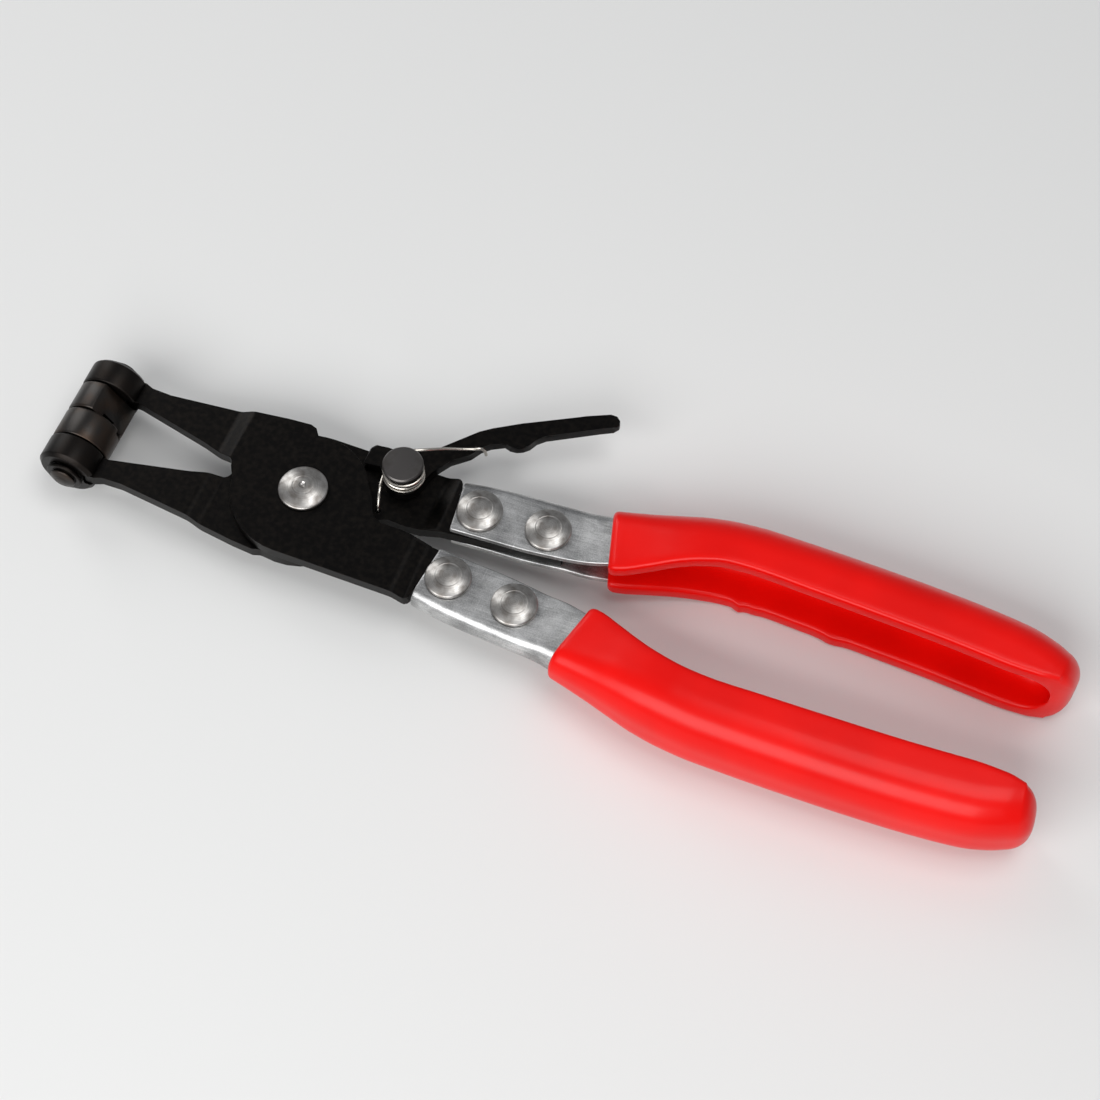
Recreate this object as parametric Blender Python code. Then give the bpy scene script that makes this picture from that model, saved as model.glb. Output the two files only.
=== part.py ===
"""Hose clamp pliers with swivel jaw tips, pressed steel handles and a spring loaded lock lever.

Lengths are metres. The pliers lie flat and closed: +X runs from the jaw tips to the handle ends,
+Y towards the far handle, +Z up. Every piece is drawn about the main pivot, at the height of the
plane where the two plates meet, and an empty carries them all down to the floor.
"""

import math

import bmesh
import bpy
from mathutils import Matrix, Vector

# General sizes
CLEARANCE = 0.0003
CUT_OVERRUN = 0.0020
PLATE_THICKNESS = 0.0028
FINE_STEPS = 28
ROUND_STEPS = 24
SMALL_STEPS = 20
CORNER_STEPS = 4
MERGE_DISTANCE = 0.000005
SHARP_ANGLE = math.radians(35.0)
QUARTER_TURN = math.pi / 2.0

# Jaw plates, about the pivot
TIP_REACH = 0.0513
DISC_RADIUS = 0.0160
NEAR_DISC_RADIUS = 0.0158
LOCK_EDGE_RADIUS = 0.0142
THROAT_REACH = 0.0174
THROAT_RADIUS = 0.0020
THROAT_ARC_START = math.radians(75.0)
ARM_BEND_REACH = 0.0186
TAIL_BEND_REACH = 0.0274
BEND_LENGTH = 0.0030
TAIL_CORNER_REACH = 0.0314
TAIL_CORNER_RADIUS = 0.0018
TAIL_END_REACH = 0.0580
TAIL_FRONT_INNER = 0.0021
TAIL_FRONT_OUTER = 0.0121
TAIL_END_INNER = 0.0052
TAIL_END_OUTER = 0.0143
# Shares of the tip reach and of the disc radius
ARM_OUTER_SHARES = (
    (0.835, 0.785), (0.745, 0.775), (0.610, 0.820), (0.390, 0.897), (0.203, 0.975), (0.105, 1.000),
)
ARM_INNER_SHARES = ((0.850, 0.490), (0.507, 0.250))
# Shares of the disc radius: the inner corner between the disc and the tail
TAIL_ROOT_SHARES = ((1.45, -0.082), (1.19, -0.090), (1.075, -0.040), (1.005, 0.050))
LOCK_EDGE_ROOT_SHARES = (0.930, 0.215)
LOCK_EDGE_START = math.radians(28.0)
NEAR_EDGE_START = math.radians(8.0)
LOCK_EDGE_END = math.radians(101.0)
EDGE_STEP_TURN = math.radians(3.0)
DISC_START = math.radians(190.0)
DISC_END = math.radians(270.0)
EDGE_ARC_STEPS = 9
DISC_ARC_STEPS = 10

# Jaw tips
TIP_RADIUS = 0.0066
TIP_LENGTH = 0.0070
TIP_CHAMFER = 0.0005
TIP_NOTCH_REACH = 0.0016
TIP_GROOVE_WIDTH = 0.0034
TIP_GROOVE_DEPTH = 0.0012
LOWER_TIP_TURN = math.radians(90.0)
UPPER_TIP_TURN = math.radians(-35.0)
BOSS_RADIUS = 0.0067
BOSS_LENGTH = 0.0062
BOSS_CHAMFER = 0.0008
BOSS_SLOT_REACH = 0.0042
ARM_END_INSET = 0.0004
SPINDLE_RADIUS = 0.0023
SPINDLE_SINK = 0.0044
SPINDLE_HEAD_RADIUS = 0.0029
SPINDLE_HEAD_HEIGHT = 0.0011
TIP_COLLAR_RADIUS = 0.0041
TIP_COLLAR_THICKNESS = 0.0008

# Main pivot
PIVOT_HEAD_RADIUS = 0.00545
PIVOT_HEAD_HEIGHT = 0.0020
PIVOT_HEAD_RIM = 0.0006
PIVOT_SHANK_RADIUS = 0.0034
PIVOT_WASHER_RADIUS = 0.0060
PIVOT_WASHER_THICKNESS = 0.0010
PIVOT_FORMED_RADIUS = 0.0046
PIVOT_FORMED_HEIGHT = 0.0013

# Handle channels, from their front edge; the grip's sheet is dipped over the metal
SHEET_THICKNESS = 0.0014
HANDLE_FRONT_REACH = 0.0325
HANDLE_METAL_LENGTH = 0.1327
HANDLE_SPREAD = 0.0258
GRIP_HALF_HEIGHT = 0.0090
FRONT_CORNER_RADIUS = 0.0026
GRIP_CORNER_RADIUS = 0.0070
# Shares: along the metal's length, open edge and web of the spread, flare from plate to grip height
HANDLE_STATION_SHARES = (
    (0.000, 0.100, 0.605, 0.00),
    (0.060, 0.119, 0.655, 0.00),
    (0.120, 0.136, 0.682, 0.00),
    (0.189, 0.178, 0.702, 0.00),
    (0.226, 0.203, 0.713, 0.10),
    (0.271, 0.278, 0.755, 0.26),
    (0.316, 0.390, 0.806, 0.48),
    (0.360, 0.475, 0.868, 0.72),
    (0.405, 0.527, 0.933, 0.90),
    (0.450, 0.560, 0.975, 1.00),
    (0.503, 0.570, 0.998, 1.00),
    (0.586, 0.558, 1.000, 1.00),
    (0.698, 0.542, 0.992, 1.00),
    (0.806, 0.523, 0.973, 1.00),
    (0.876, 0.502, 0.948, 1.00),
    (0.930, 0.487, 0.915, 1.00),
    (0.972, 0.492, 0.855, 0.98),
    (1.000, 0.515, 0.795, 0.90),
)

# Dipped grips
DIP_THICKNESS = 0.0012
DIP_START = 0.0341
DIP_END_LENGTH = 0.0036
# Shares: along the closed end, of the last web, open edge and height left there
DIP_END_SHARES = ((0.45, 0.955, 1.015, 0.93), (0.80, 0.895, 1.045, 0.80), (1.00, 0.830, 1.090, 0.62))
LARGEST_CORNER_SHARE = 0.9
TROUGH_END_GAP = 0.0012

# Handle rivets: how far behind the handle's front edge, and how far from the middle line
RIVET_SETBACKS = ((0.0053, 0.0088), (0.0208, 0.0098))
RIVET_HEAD_RADIUS = 0.00505
RIVET_HEAD_HEIGHT = 0.0018
RIVET_HEAD_RIM = 0.0005
RIVET_SHANK_RADIUS = 0.0025

# Lock pin, washer, lever and spring
LOCK_PIN_X = 0.0191
LOCK_PIN_Y = 0.0110
LEVER_THICKNESS = 0.0024
LOCK_HEAD_RADIUS = 0.0045
LOCK_HEAD_THICKNESS = 0.0011
LOCK_HEAD_CHAMFER = 0.0003
LOCK_NECK_RADIUS = 0.0033
LOCK_SHOULDER_RADIUS = 0.0025
LOCK_SHANK_RADIUS = 0.0021
LOCK_WASHER_RADIUS = 0.0042
LOCK_WASHER_THICKNESS = 0.0008
LOCK_FORMED_RADIUS = 0.0033
LOCK_FORMED_HEIGHT = 0.0011
LEVER_NOSE_REACH = 0.0099
LEVER_TAIL_REACH = 0.0500
LEVER_EYE_RADIUS = 0.0042
# Shares of the tail reach, about the lock pin: upper edge outwards, then the lower edge back to the pin
LEVER_UPPER_SHARES = (
    (0.075, 0.190), (0.212, 0.340), (0.255, 0.378), (0.330, 0.428), (0.466, 0.505), (0.680, 0.622),
    (0.724, 0.642), (0.752, 0.642), (0.772, 0.624), (0.778, 0.600), (0.758, 0.580),
)
LEVER_LOWER_SHARES = (
    (0.708, 0.553), (0.496, 0.428), (0.464, 0.396), (0.446, 0.360), (0.424, 0.334), (0.398, 0.322),
    (0.368, 0.322), (0.340, 0.330), (0.286, 0.300), (0.252, 0.266), (0.224, 0.218), (0.154, 0.156),
    (0.100, 0.070),
)
# Shares of the nose reach, about the lock pin: lower edge outwards, the end, then the upper edge back
LEVER_NOSE_SHARES = (
    (-0.620, 0.085), (-1.000, 0.035), (-1.020, 0.480), (-0.930, 0.590), (-0.650, 0.600), (-0.300, 0.600),
)
LEVER_EYE_START = math.radians(-30.0)
LEVER_EYE_SWEEP = math.radians(-125.0)
LEVER_EYE_STEPS = 7

WIRE_RADIUS = 0.00035
COIL_RADIUS = 0.0043
COIL_PITCH = 0.00113
COIL_STEPS = 9
COIL_START = math.radians(180.0)
COIL_TURNS = 3.0 + 1.0 / 6.0
WIRE_BEND_SPARE = 0.00005
LEAST_WIRE_GAP = 0.0004
LEVER_LEG_REACH = 0.0140
# Shares of each leg's reach, about the lock pin
LEVER_LEG_SHARES = (
    (0.121, 0.393), (0.420, 0.625), (0.790, 0.845), (0.910, 0.905), (0.972, 0.930), (0.986, 0.940),
)
PLATE_LEG_REACH = 0.0085
PLATE_LEG_SHARES = (
    (-0.485, -0.300), (-0.425, -0.600), (-0.355, -0.880), (-0.330, -0.975), (-0.330, -0.985),
)
PLATE_LEG_DEPTH = 0.0016
GAP_SAMPLE_SHARES = (0.0, 0.25, 0.5, 0.75, 1.0)

# Heights that follow from the sizes above
LAYER_RISE = (PLATE_THICKNESS + CLEARANCE) / 2.0
CHANNEL_HALF_HEIGHT = PLATE_THICKNESS / 2.0 + CLEARANCE + SHEET_THICKNESS
FAR_PLATE_TOP = LAYER_RISE + PLATE_THICKNESS / 2.0
NEAR_PLATE_TOP = -LAYER_RISE + PLATE_THICKNESS / 2.0
NEAR_PLATE_BOTTOM = -LAYER_RISE - PLATE_THICKNESS / 2.0
LEVER_BOTTOM = NEAR_PLATE_TOP + CLEARANCE
LEVER_TOP = LEVER_BOTTOM + LEVER_THICKNESS
COIL_BOTTOM = LEVER_TOP + CLEARANCE + WIRE_RADIUS + WIRE_BEND_SPARE
COIL_TOP = COIL_BOTTOM + COIL_PITCH * COIL_TURNS
LOCK_HEAD_BOTTOM = COIL_TOP + WIRE_RADIUS + CLEARANCE
LOCK_HEAD_TOP = LOCK_HEAD_BOTTOM + LOCK_HEAD_THICKNESS

# Finishes: colour, roughness and metallic value from the photograph
BLACK_STEEL = ((0.018, 0.018, 0.020), 0.42, 0.55)
WORN_STEEL = ((0.075, 0.068, 0.062), 0.36, 0.80)
ZINC_PLATE = ((0.60, 0.61, 0.62), 0.32, 1.00)
RIVET_STEEL = ((0.68, 0.67, 0.65), 0.27, 1.00)
PIN_STEEL = ((0.20, 0.19, 0.19), 0.39, 0.90)
SPRING_STEEL = ((0.72, 0.69, 0.64), 0.25, 1.00)
RED_VINYL = ((0.78, 0.015, 0.010), 0.22, 0.00)


def clear_scene():
    for item in list(bpy.data.objects):
        bpy.data.objects.remove(item, do_unlink=True)


def finish(name, look):
    colour, roughness, metallic = look
    material = bpy.data.materials.new(name)
    material.use_nodes = True
    shader = material.node_tree.nodes["Principled BSDF"]
    shader.inputs["Base Color"].default_value = (*colour, 1.0)
    shader.inputs["Roughness"].default_value = roughness
    shader.inputs["Metallic"].default_value = metallic
    return material


def rivet_places():
    """Where the two rivets of a handle stand, about the pivot."""
    return [(HANDLE_FRONT_REACH + setback, out) for setback, out in RIVET_SETBACKS]


def add_object(name, mesh_data, parent, look):
    piece = bpy.data.objects.new(name, mesh_data)
    bpy.context.collection.objects.link(piece)
    piece.parent = parent
    piece.data.materials.append(finish(name, look))
    return piece


def add_empty(name, place, parent):
    empty = bpy.data.objects.new(name, None)
    bpy.context.collection.objects.link(empty)
    empty.location = place
    empty.parent = parent
    return empty


def mesh_from(shape, name, smooth):
    """Turns a bmesh into a mesh with its faces pointing out."""
    bmesh.ops.recalc_face_normals(shape, faces=shape.faces[:])
    if shape.calc_volume(signed=True) < 0.0:
        bmesh.ops.reverse_faces(shape, faces=shape.faces[:])
    data = bpy.data.meshes.new(name)
    shape.to_mesh(data)
    shape.free()
    if smooth:
        data.shade_smooth()
        data.set_sharp_from_angle(angle=SHARP_ANGLE)
    return data


def arc(centre_x, centre_y, radius, start, end, steps):
    """Points of an arc from one angle to another, both ends included."""
    points = []
    for step in range(steps + 1):
        angle = start + (end - start) * step / steps
        points.append((centre_x + radius * math.cos(angle), centre_y + radius * math.sin(angle)))
    return points


def turned(name, profile, steps, along_y=False):
    """Turns a closed profile of radius and height about Z, or about Y for the jaw tips."""
    shape = bmesh.new()
    corners = [shape.verts.new((radius, 0.0, height)) for radius, height in profile]
    edges = []
    for first, second in zip(corners, corners[1:] + corners[:1]):
        on_axis = first.co.x == 0.0 and second.co.x == 0.0
        if not on_axis:
            edges.append(shape.edges.new((first, second)))
    axis = (0.0, 0.0, 1.0)
    bmesh.ops.spin(
        shape, geom=edges, cent=(0.0, 0.0, 0.0), axis=axis, angle=math.tau, steps=steps, use_merge=True
    )
    bmesh.ops.remove_doubles(shape, verts=shape.verts[:], dist=MERGE_DISTANCE)
    if along_y:
        bmesh.ops.transform(shape, matrix=Matrix.Rotation(-QUARTER_TURN, 4, "X"), verts=shape.verts[:])
    return mesh_from(shape, name, True)


def loft(name, loops, smooth):
    """Skins loops of equal length that follow each other along X, with flat ends."""
    shape = bmesh.new()
    rings = [[shape.verts.new(point) for point in loop] for loop in loops]
    for ring, following in zip(rings, rings[1:]):
        count = len(ring)
        for index in range(count):
            after = (index + 1) % count
            shape.faces.new((ring[index], ring[after], following[after], following[index]))
    shape.faces.new(rings[0][::-1])
    shape.faces.new(rings[-1])
    return mesh_from(shape, name, smooth)


def box_mesh(name, low, high):
    shape = bmesh.new()
    bmesh.ops.create_cube(shape, size=1.0)
    low = Vector(low)
    high = Vector(high)
    bmesh.ops.scale(shape, vec=high - low, verts=shape.verts[:])
    bmesh.ops.translate(shape, vec=(low + high) / 2.0, verts=shape.verts[:])
    return mesh_from(shape, name, False)


def cut_away(piece, name, mesh_data, place=(0.0, 0.0, 0.0), turn=None):
    """Cuts one closed mesh out of a piece with a Boolean modifier."""
    cutter = bpy.data.objects.new(name, mesh_data)
    bpy.context.collection.objects.link(cutter)
    cutter.parent = piece.parent
    cutter.location = place
    if turn is not None:
        cutter.rotation_euler = turn
    cutter.hide_render = True
    cutter.display_type = "WIRE"
    modifier = piece.modifiers.new(name, "BOOLEAN")
    modifier.operation = "DIFFERENCE"
    modifier.solver = "EXACT"
    modifier.object = cutter
    return cutter


def drill(piece, name, radius, place, steps):
    """Cuts a round hole along Z right through a piece."""
    reach = GRIP_HALF_HEIGHT + CUT_OVERRUN
    profile = ((0.0, -reach), (radius, -reach), (radius, reach), (0.0, reach))
    cut_away(piece, name, turned(name, profile, steps), (place[0], place[1], 0.0))


def dome(radius, height, rim, base):
    """Profile of a low domed head standing on a base height, from its rim to its crown."""
    rise = height - rim
    ball = (radius * radius + rise * rise) / (2.0 * rise)
    points = [(radius, base), (radius, base + rim)]
    spread = math.asin(radius / ball)
    for step in range(1, CORNER_STEPS + 1):
        angle = spread * (1.0 - step / CORNER_STEPS)
        points.append((ball * math.sin(angle), base + rim + ball * math.cos(angle) - (ball - rise)))
    points[-1] = (0.0, base + height)
    return points


def boss_span():
    """Near and far end of a tip's fixed boss, along Y from the middle."""
    start = CLEARANCE / 2.0 + TIP_LENGTH + CLEARANCE
    return start, start + BOSS_LENGTH


def jaw_outline(side):
    """Outline of a jaw plate about the pivot; side 1 is the far jaw, side -1 the near one."""
    boss_start, boss_end = boss_span()
    tongue = -TIP_REACH + BOSS_SLOT_REACH + CLEARANCE
    boss_rear = -TIP_REACH + BOSS_RADIUS
    inner = boss_start + ARM_END_INSET
    outer = boss_end - ARM_END_INSET
    points = [(tongue, outer), (tongue, inner), (boss_rear, inner)]
    points += [(-TIP_REACH * x, DISC_RADIUS * y) for x, y in ARM_INNER_SHARES]
    centre = -THROAT_REACH - THROAT_RADIUS
    points += arc(centre, 0.0, THROAT_RADIUS, THROAT_ARC_START, 0.0, CORNER_STEPS)
    points += arc(0.0, 0.0, DISC_RADIUS, DISC_START, DISC_END, DISC_ARC_STEPS)
    corner_x = TAIL_CORNER_REACH - TAIL_CORNER_RADIUS
    corner_y = -DISC_RADIUS + TAIL_CORNER_RADIUS
    points += arc(corner_x, corner_y, TAIL_CORNER_RADIUS, -QUARTER_TURN, 0.0, CORNER_STEPS)
    points += [(TAIL_CORNER_REACH, -TAIL_FRONT_OUTER), (TAIL_END_REACH, -TAIL_END_OUTER)]
    points += [(TAIL_END_REACH, -TAIL_END_INNER), (TAIL_CORNER_REACH, -TAIL_FRONT_INNER)]
    points += [(DISC_RADIUS * x, DISC_RADIUS * y) for x, y in TAIL_ROOT_SHARES]
    if side > 0:
        points.append((DISC_RADIUS * LOCK_EDGE_ROOT_SHARES[0], DISC_RADIUS * LOCK_EDGE_ROOT_SHARES[1]))
        points += arc(0.0, 0.0, LOCK_EDGE_RADIUS, LOCK_EDGE_START, LOCK_EDGE_END, EDGE_ARC_STEPS)
    else:
        points += arc(0.0, 0.0, NEAR_DISC_RADIUS, NEAR_EDGE_START, LOCK_EDGE_END, EDGE_ARC_STEPS)
    step_angle = LOCK_EDGE_END + EDGE_STEP_TURN
    points.append((DISC_RADIUS * math.cos(step_angle), DISC_RADIUS * math.sin(step_angle)))
    points += [(-TIP_REACH * x, DISC_RADIUS * y) for x, y in reversed(ARM_OUTER_SHARES)]
    points.append((boss_rear, outer))
    return [(x, side * y) for x, y in points]


def layer_height(x, side):
    """Height of a plate's middle: in its own layer at the disc, on the middle plane at arm and tail."""
    past_arm = (-x - ARM_BEND_REACH) / BEND_LENGTH
    past_tail = (x - TAIL_BEND_REACH) / BEND_LENGTH
    share = min(max(past_arm, past_tail, 0.0), 1.0)
    return side * LAYER_RISE * (1.0 - share)


def jaw_plate(name, side, parent):
    """One pressed plate with its pivot and rivet holes, joggled at the arm and at the tail."""
    shape = bmesh.new()
    corners = [shape.verts.new((x, y, -PLATE_THICKNESS / 2.0)) for x, y in jaw_outline(side)]
    shape.faces.new(corners)
    bends = (-ARM_BEND_REACH, -ARM_BEND_REACH - BEND_LENGTH, TAIL_BEND_REACH, TAIL_BEND_REACH + BEND_LENGTH)
    for bend in bends:
        everything = shape.verts[:] + shape.edges[:] + shape.faces[:]
        bmesh.ops.bisect_plane(shape, geom=everything, plane_co=(bend, 0.0, 0.0), plane_no=(1.0, 0.0, 0.0))
    grown = bmesh.ops.extrude_face_region(shape, geom=shape.faces[:])
    raised = [item for item in grown["geom"] if isinstance(item, bmesh.types.BMVert)]
    bmesh.ops.translate(shape, vec=(0.0, 0.0, PLATE_THICKNESS), verts=raised)
    for corner in shape.verts:
        corner.co.z += layer_height(corner.co.x, side)
    plate = add_object(name, mesh_from(shape, name, False), parent, BLACK_STEEL)
    drill(plate, name + "_pivot_hole", PIVOT_SHANK_RADIUS + CLEARANCE, (0.0, 0.0), ROUND_STEPS)
    for number, (x, y) in enumerate(rivet_places()):
        hole = RIVET_SHANK_RADIUS + CLEARANCE
        drill(plate, "%s_rivet_hole_%d" % (name, number + 1), hole, (x, -side * y), SMALL_STEPS)
    return plate


def near_plate_holes(plate):
    """The holes that only the near jaw's plate has: the lock pin's and the spring leg's."""
    drill(plate, "lock_pin_hole", LOCK_SHANK_RADIUS + CLEARANCE, (LOCK_PIN_X, LOCK_PIN_Y), SMALL_STEPS)
    x, y = plate_leg_points()[-1][:2]
    drill(plate, "spring_leg_hole", WIRE_RADIUS + CLEARANCE, (x, y), SMALL_STEPS)


def tip_boss(name, side, parent):
    """The eye on the end of a jaw arm that the swivel tip's spindle turns in."""
    start, end = boss_span()
    bore = SPINDLE_RADIUS + CLEARANCE
    profile = (
        (bore, start), (BOSS_RADIUS, start), (BOSS_RADIUS, end - BOSS_CHAMFER),
        (BOSS_RADIUS - BOSS_CHAMFER, end), (bore, end),
    )
    data = turned(name, mirrored(profile, side), FINE_STEPS, True)
    boss = add_object(name, data, parent, WORN_STEEL)
    boss.location = (-TIP_REACH, 0.0, 0.0)
    half = PLATE_THICKNESS / 2.0 + CLEARANCE
    low = (BOSS_SLOT_REACH, min(side * start, side * end) - CUT_OVERRUN, -half)
    high = (BOSS_RADIUS + CUT_OVERRUN, max(side * start, side * end) + CUT_OVERRUN, half)
    cut_away(boss, name + "_slot", box_mesh(name + "_slot", low, high), (-TIP_REACH, 0.0, 0.0))
    return boss


def mirrored(profile, side):
    """A turned profile with its heights on the other side where side is -1."""
    return [(radius, side * height) for radius, height in profile]


def swivel_tip(name, side, hinge, notch_turn):
    """The turning jaw end: a short drum with a step along it and a groove across its face."""
    start = CLEARANCE / 2.0
    end = start + TIP_LENGTH
    bore = SPINDLE_RADIUS + CLEARANCE
    sink = end - SPINDLE_SINK - CLEARANCE
    profile = (
        (0.0, start), (TIP_RADIUS - TIP_CHAMFER, start), (TIP_RADIUS, start + TIP_CHAMFER), (TIP_RADIUS, end),
        (bore, end), (bore, sink), (0.0, sink),
    )
    tip = add_object(name, turned(name, mirrored(profile, side), FINE_STEPS, True), hinge, WORN_STEEL)
    reach = TIP_RADIUS + CUT_OVERRUN
    ends = sorted((side * (start - CUT_OVERRUN), side * (end + CUT_OVERRUN)))
    step_low = (SPINDLE_RADIUS + CLEARANCE + TIP_NOTCH_REACH, ends[0], -reach)
    step_high = (reach, ends[1], reach)
    turn = (0.0, notch_turn, 0.0)
    cut_away(tip, name + "_step", box_mesh(name + "_step", step_low, step_high), turn=turn)
    ends = sorted((side * (start - CUT_OVERRUN), side * (start + TIP_GROOVE_DEPTH)))
    groove_low = (-reach, ends[0], -TIP_GROOVE_WIDTH / 2.0)
    groove_high = (reach, ends[1], TIP_GROOVE_WIDTH / 2.0)
    cut_away(tip, name + "_groove", box_mesh(name + "_groove", groove_low, groove_high), turn=turn)
    return tip


def tip_spindle(name, side, hinge):
    """The spindle that the tip turns on, pressed in the tip and headed over past the collar."""
    sunk = CLEARANCE / 2.0 + TIP_LENGTH - SPINDLE_SINK
    head_base = boss_span()[1] + 2.0 * CLEARANCE + TIP_COLLAR_THICKNESS
    profile = [(0.0, sunk), (SPINDLE_RADIUS, sunk), (SPINDLE_RADIUS, head_base)]
    profile += dome(SPINDLE_HEAD_RADIUS, SPINDLE_HEAD_HEIGHT, CLEARANCE, head_base)
    data = turned(name, mirrored(profile, side), SMALL_STEPS, True)
    return add_object(name, data, hinge, WORN_STEEL)


def tip_collar(name, side, hinge):
    """The ring between the boss and the spindle's head."""
    start = boss_span()[1] + CLEARANCE
    end = start + TIP_COLLAR_THICKNESS
    bore = SPINDLE_RADIUS + CLEARANCE
    profile = (
        (bore, start), (TIP_COLLAR_RADIUS, start), (TIP_COLLAR_RADIUS, end - CLEARANCE),
        (TIP_COLLAR_RADIUS - CLEARANCE, end), (bore, end),
    )
    data = turned(name, mirrored(profile, side), SMALL_STEPS, True)
    return add_object(name, data, hinge, WORN_STEEL)


def pivot_rivet(parent):
    """The main pivot: a low domed head over the far plate, formed over a washer under the near one."""
    top = FAR_PLATE_TOP + CLEARANCE
    bottom = NEAR_PLATE_BOTTOM - 2.0 * CLEARANCE - PIVOT_WASHER_THICKNESS
    formed = dome(PIVOT_FORMED_RADIUS, PIVOT_FORMED_HEIGHT, CLEARANCE, -bottom)
    profile = mirrored(formed, -1)[::-1]
    profile += [(PIVOT_SHANK_RADIUS, bottom), (PIVOT_SHANK_RADIUS, top)]
    profile += dome(PIVOT_HEAD_RADIUS, PIVOT_HEAD_HEIGHT, PIVOT_HEAD_RIM, top)
    data = turned("main_pivot_rivet", profile, FINE_STEPS)
    return add_object("main_pivot_rivet", data, parent, RIVET_STEEL)


def washer(name, bore, radius, thickness, top, place, parent):
    """A flat washer with its upper face at a height."""
    profile = ((bore, top - thickness), (radius, top - thickness), (radius, top), (bore, top))
    piece = add_object(name, turned(name, profile, ROUND_STEPS), parent, PIN_STEEL)
    piece.location = (place[0], place[1], 0.0)
    return piece


def handle_rivet(name, place, parent):
    """A domed rivet through both flanges of a handle and the plate between them."""
    base = CHANNEL_HALF_HEIGHT + CLEARANCE
    head = dome(RIVET_HEAD_RADIUS, RIVET_HEAD_HEIGHT, RIVET_HEAD_RIM, base)
    upper = [(RIVET_SHANK_RADIUS, base)] + head
    profile = mirrored(upper, -1)[::-1] + upper
    piece = add_object(name, turned(name, profile, ROUND_STEPS), parent, RIVET_STEEL)
    piece.location = (place[0], place[1], 0.0)
    return piece


def handle_stations():
    """The pressed handle at each station: X, open edge, web, half height, corner and lean."""
    rows = []
    for along, open_edge, web, flare in HANDLE_STATION_SHARES:
        half = CHANNEL_HALF_HEIGHT + (GRIP_HALF_HEIGHT - CHANNEL_HALF_HEIGHT) * flare
        corner = FRONT_CORNER_RADIUS + (GRIP_CORNER_RADIUS - FRONT_CORNER_RADIUS) * flare
        x = HANDLE_FRONT_REACH + HANDLE_METAL_LENGTH * along
        rows.append((x, HANDLE_SPREAD * open_edge, HANDLE_SPREAD * web, half, corner))
    return [row + (mid_line_slope(rows, index),) for index, row in enumerate(rows)]


def mid_line_slope(rows, index):
    """Slope of the line half way between open edge and web, which each section stands square to."""
    before = rows[max(index - 1, 0)]
    after = rows[min(index + 1, len(rows) - 1)]
    return (after[1] + after[2] - before[1] - before[2]) / 2.0 / (after[0] - before[0])


def section_place(station, side, y, z):
    """A point of a section, leaned so that the section stands square to the handle's run."""
    x, open_edge, web, half, corner, lean = station
    return (x - lean * (y - (open_edge + web) / 2.0), side * y, z)


def station_at(x):
    """The handle's sizes at any X along it."""
    stations = handle_stations()
    for low, high in zip(stations, stations[1:]):
        if low[0] <= x <= high[0]:
            share = (x - low[0]) / (high[0] - low[0])
            return tuple(a + (b - a) * share for a, b in zip(low, high))
    return stations[-1]


def dip_stations(start):
    """The handle's sizes from the grip's front edge to the end of the metal."""
    later = [station for station in handle_stations() if station[0] > start + CUT_OVERRUN]
    return [station_at(start)] + later


def half_loop(open_edge, web, half, corner):
    """Outside of a handle's section from the upper open edge round the web to the lower one."""
    points = [(open_edge, half)]
    points += arc(web - corner, half - corner, corner, QUARTER_TURN, 0.0, CORNER_STEPS)
    points += arc(web - corner, corner - half, corner, 0.0, -QUARTER_TURN, CORNER_STEPS)
    points.append((open_edge, -half))
    return points


def channel_loop(station, side, grow):
    """Closed section of the pressed sheet at a station, grown by a clearance on every face."""
    open_edge, web, half, corner = station[1:5]
    outside = half_loop(open_edge - grow, web + grow, half + grow, corner + grow)
    shrink = SHEET_THICKNESS + grow
    inner_half = half - shrink
    inner_corner = min(max(corner - shrink, CLEARANCE), inner_half * LARGEST_CORNER_SHARE)
    inside = half_loop(open_edge - grow, web - shrink, inner_half, inner_corner)
    return [section_place(station, side, y, z) for y, z in outside + inside[::-1]]


def handle_channel(name, side, parent):
    """The zinc plated pressed handle: a U section that clamps the plate and flares to the grip."""
    loops = [channel_loop(station, side, 0.0) for station in handle_stations()]
    channel = add_object(name, loft(name, loops, True), parent, ZINC_PLATE)
    for number, (x, y) in enumerate(rivet_places()):
        hole = RIVET_SHANK_RADIUS + CLEARANCE
        drill(channel, "%s_hole_%d" % (name, number + 1), hole, (x, side * y), SMALL_STEPS)
    return channel


def outer_grip_loop(station, side, grow):
    """Section of the grip's outside, closed straight across the open edges."""
    open_edge, web, half, corner = station[1:5]
    points = half_loop(open_edge - grow, web + grow, half + grow, corner + grow)
    return [section_place(station, side, y, z) for y, z in points]


def trough_loop(station, side, grow):
    """Section of the open trough between the two flanges of a grip."""
    open_edge, web, half, corner = station[1:5]
    shrink = SHEET_THICKNESS + grow
    inner_half = half - shrink
    inner_corner = min(max(corner - shrink, CLEARANCE), inner_half * LARGEST_CORNER_SHARE)
    points = half_loop(open_edge - grow - CUT_OVERRUN, web - shrink, inner_half, inner_corner)
    return [section_place(station, side, y, z) for y, z in points]


def closed_end_stations(last):
    """Stations of the grip's rounded end, past the end of the metal."""
    x, open_edge, web, half, corner, lean = last
    stations = []
    for along, web_share, open_share, height_share in DIP_END_SHARES:
        edge = open_edge * open_share
        back = web * web_share
        low = half * height_share
        round_off = min(corner, LARGEST_CORNER_SHARE * low, LARGEST_CORNER_SHARE * (back - edge))
        stations.append((x + DIP_END_LENGTH * along, edge, back, low, round_off, lean))
    return stations


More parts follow.
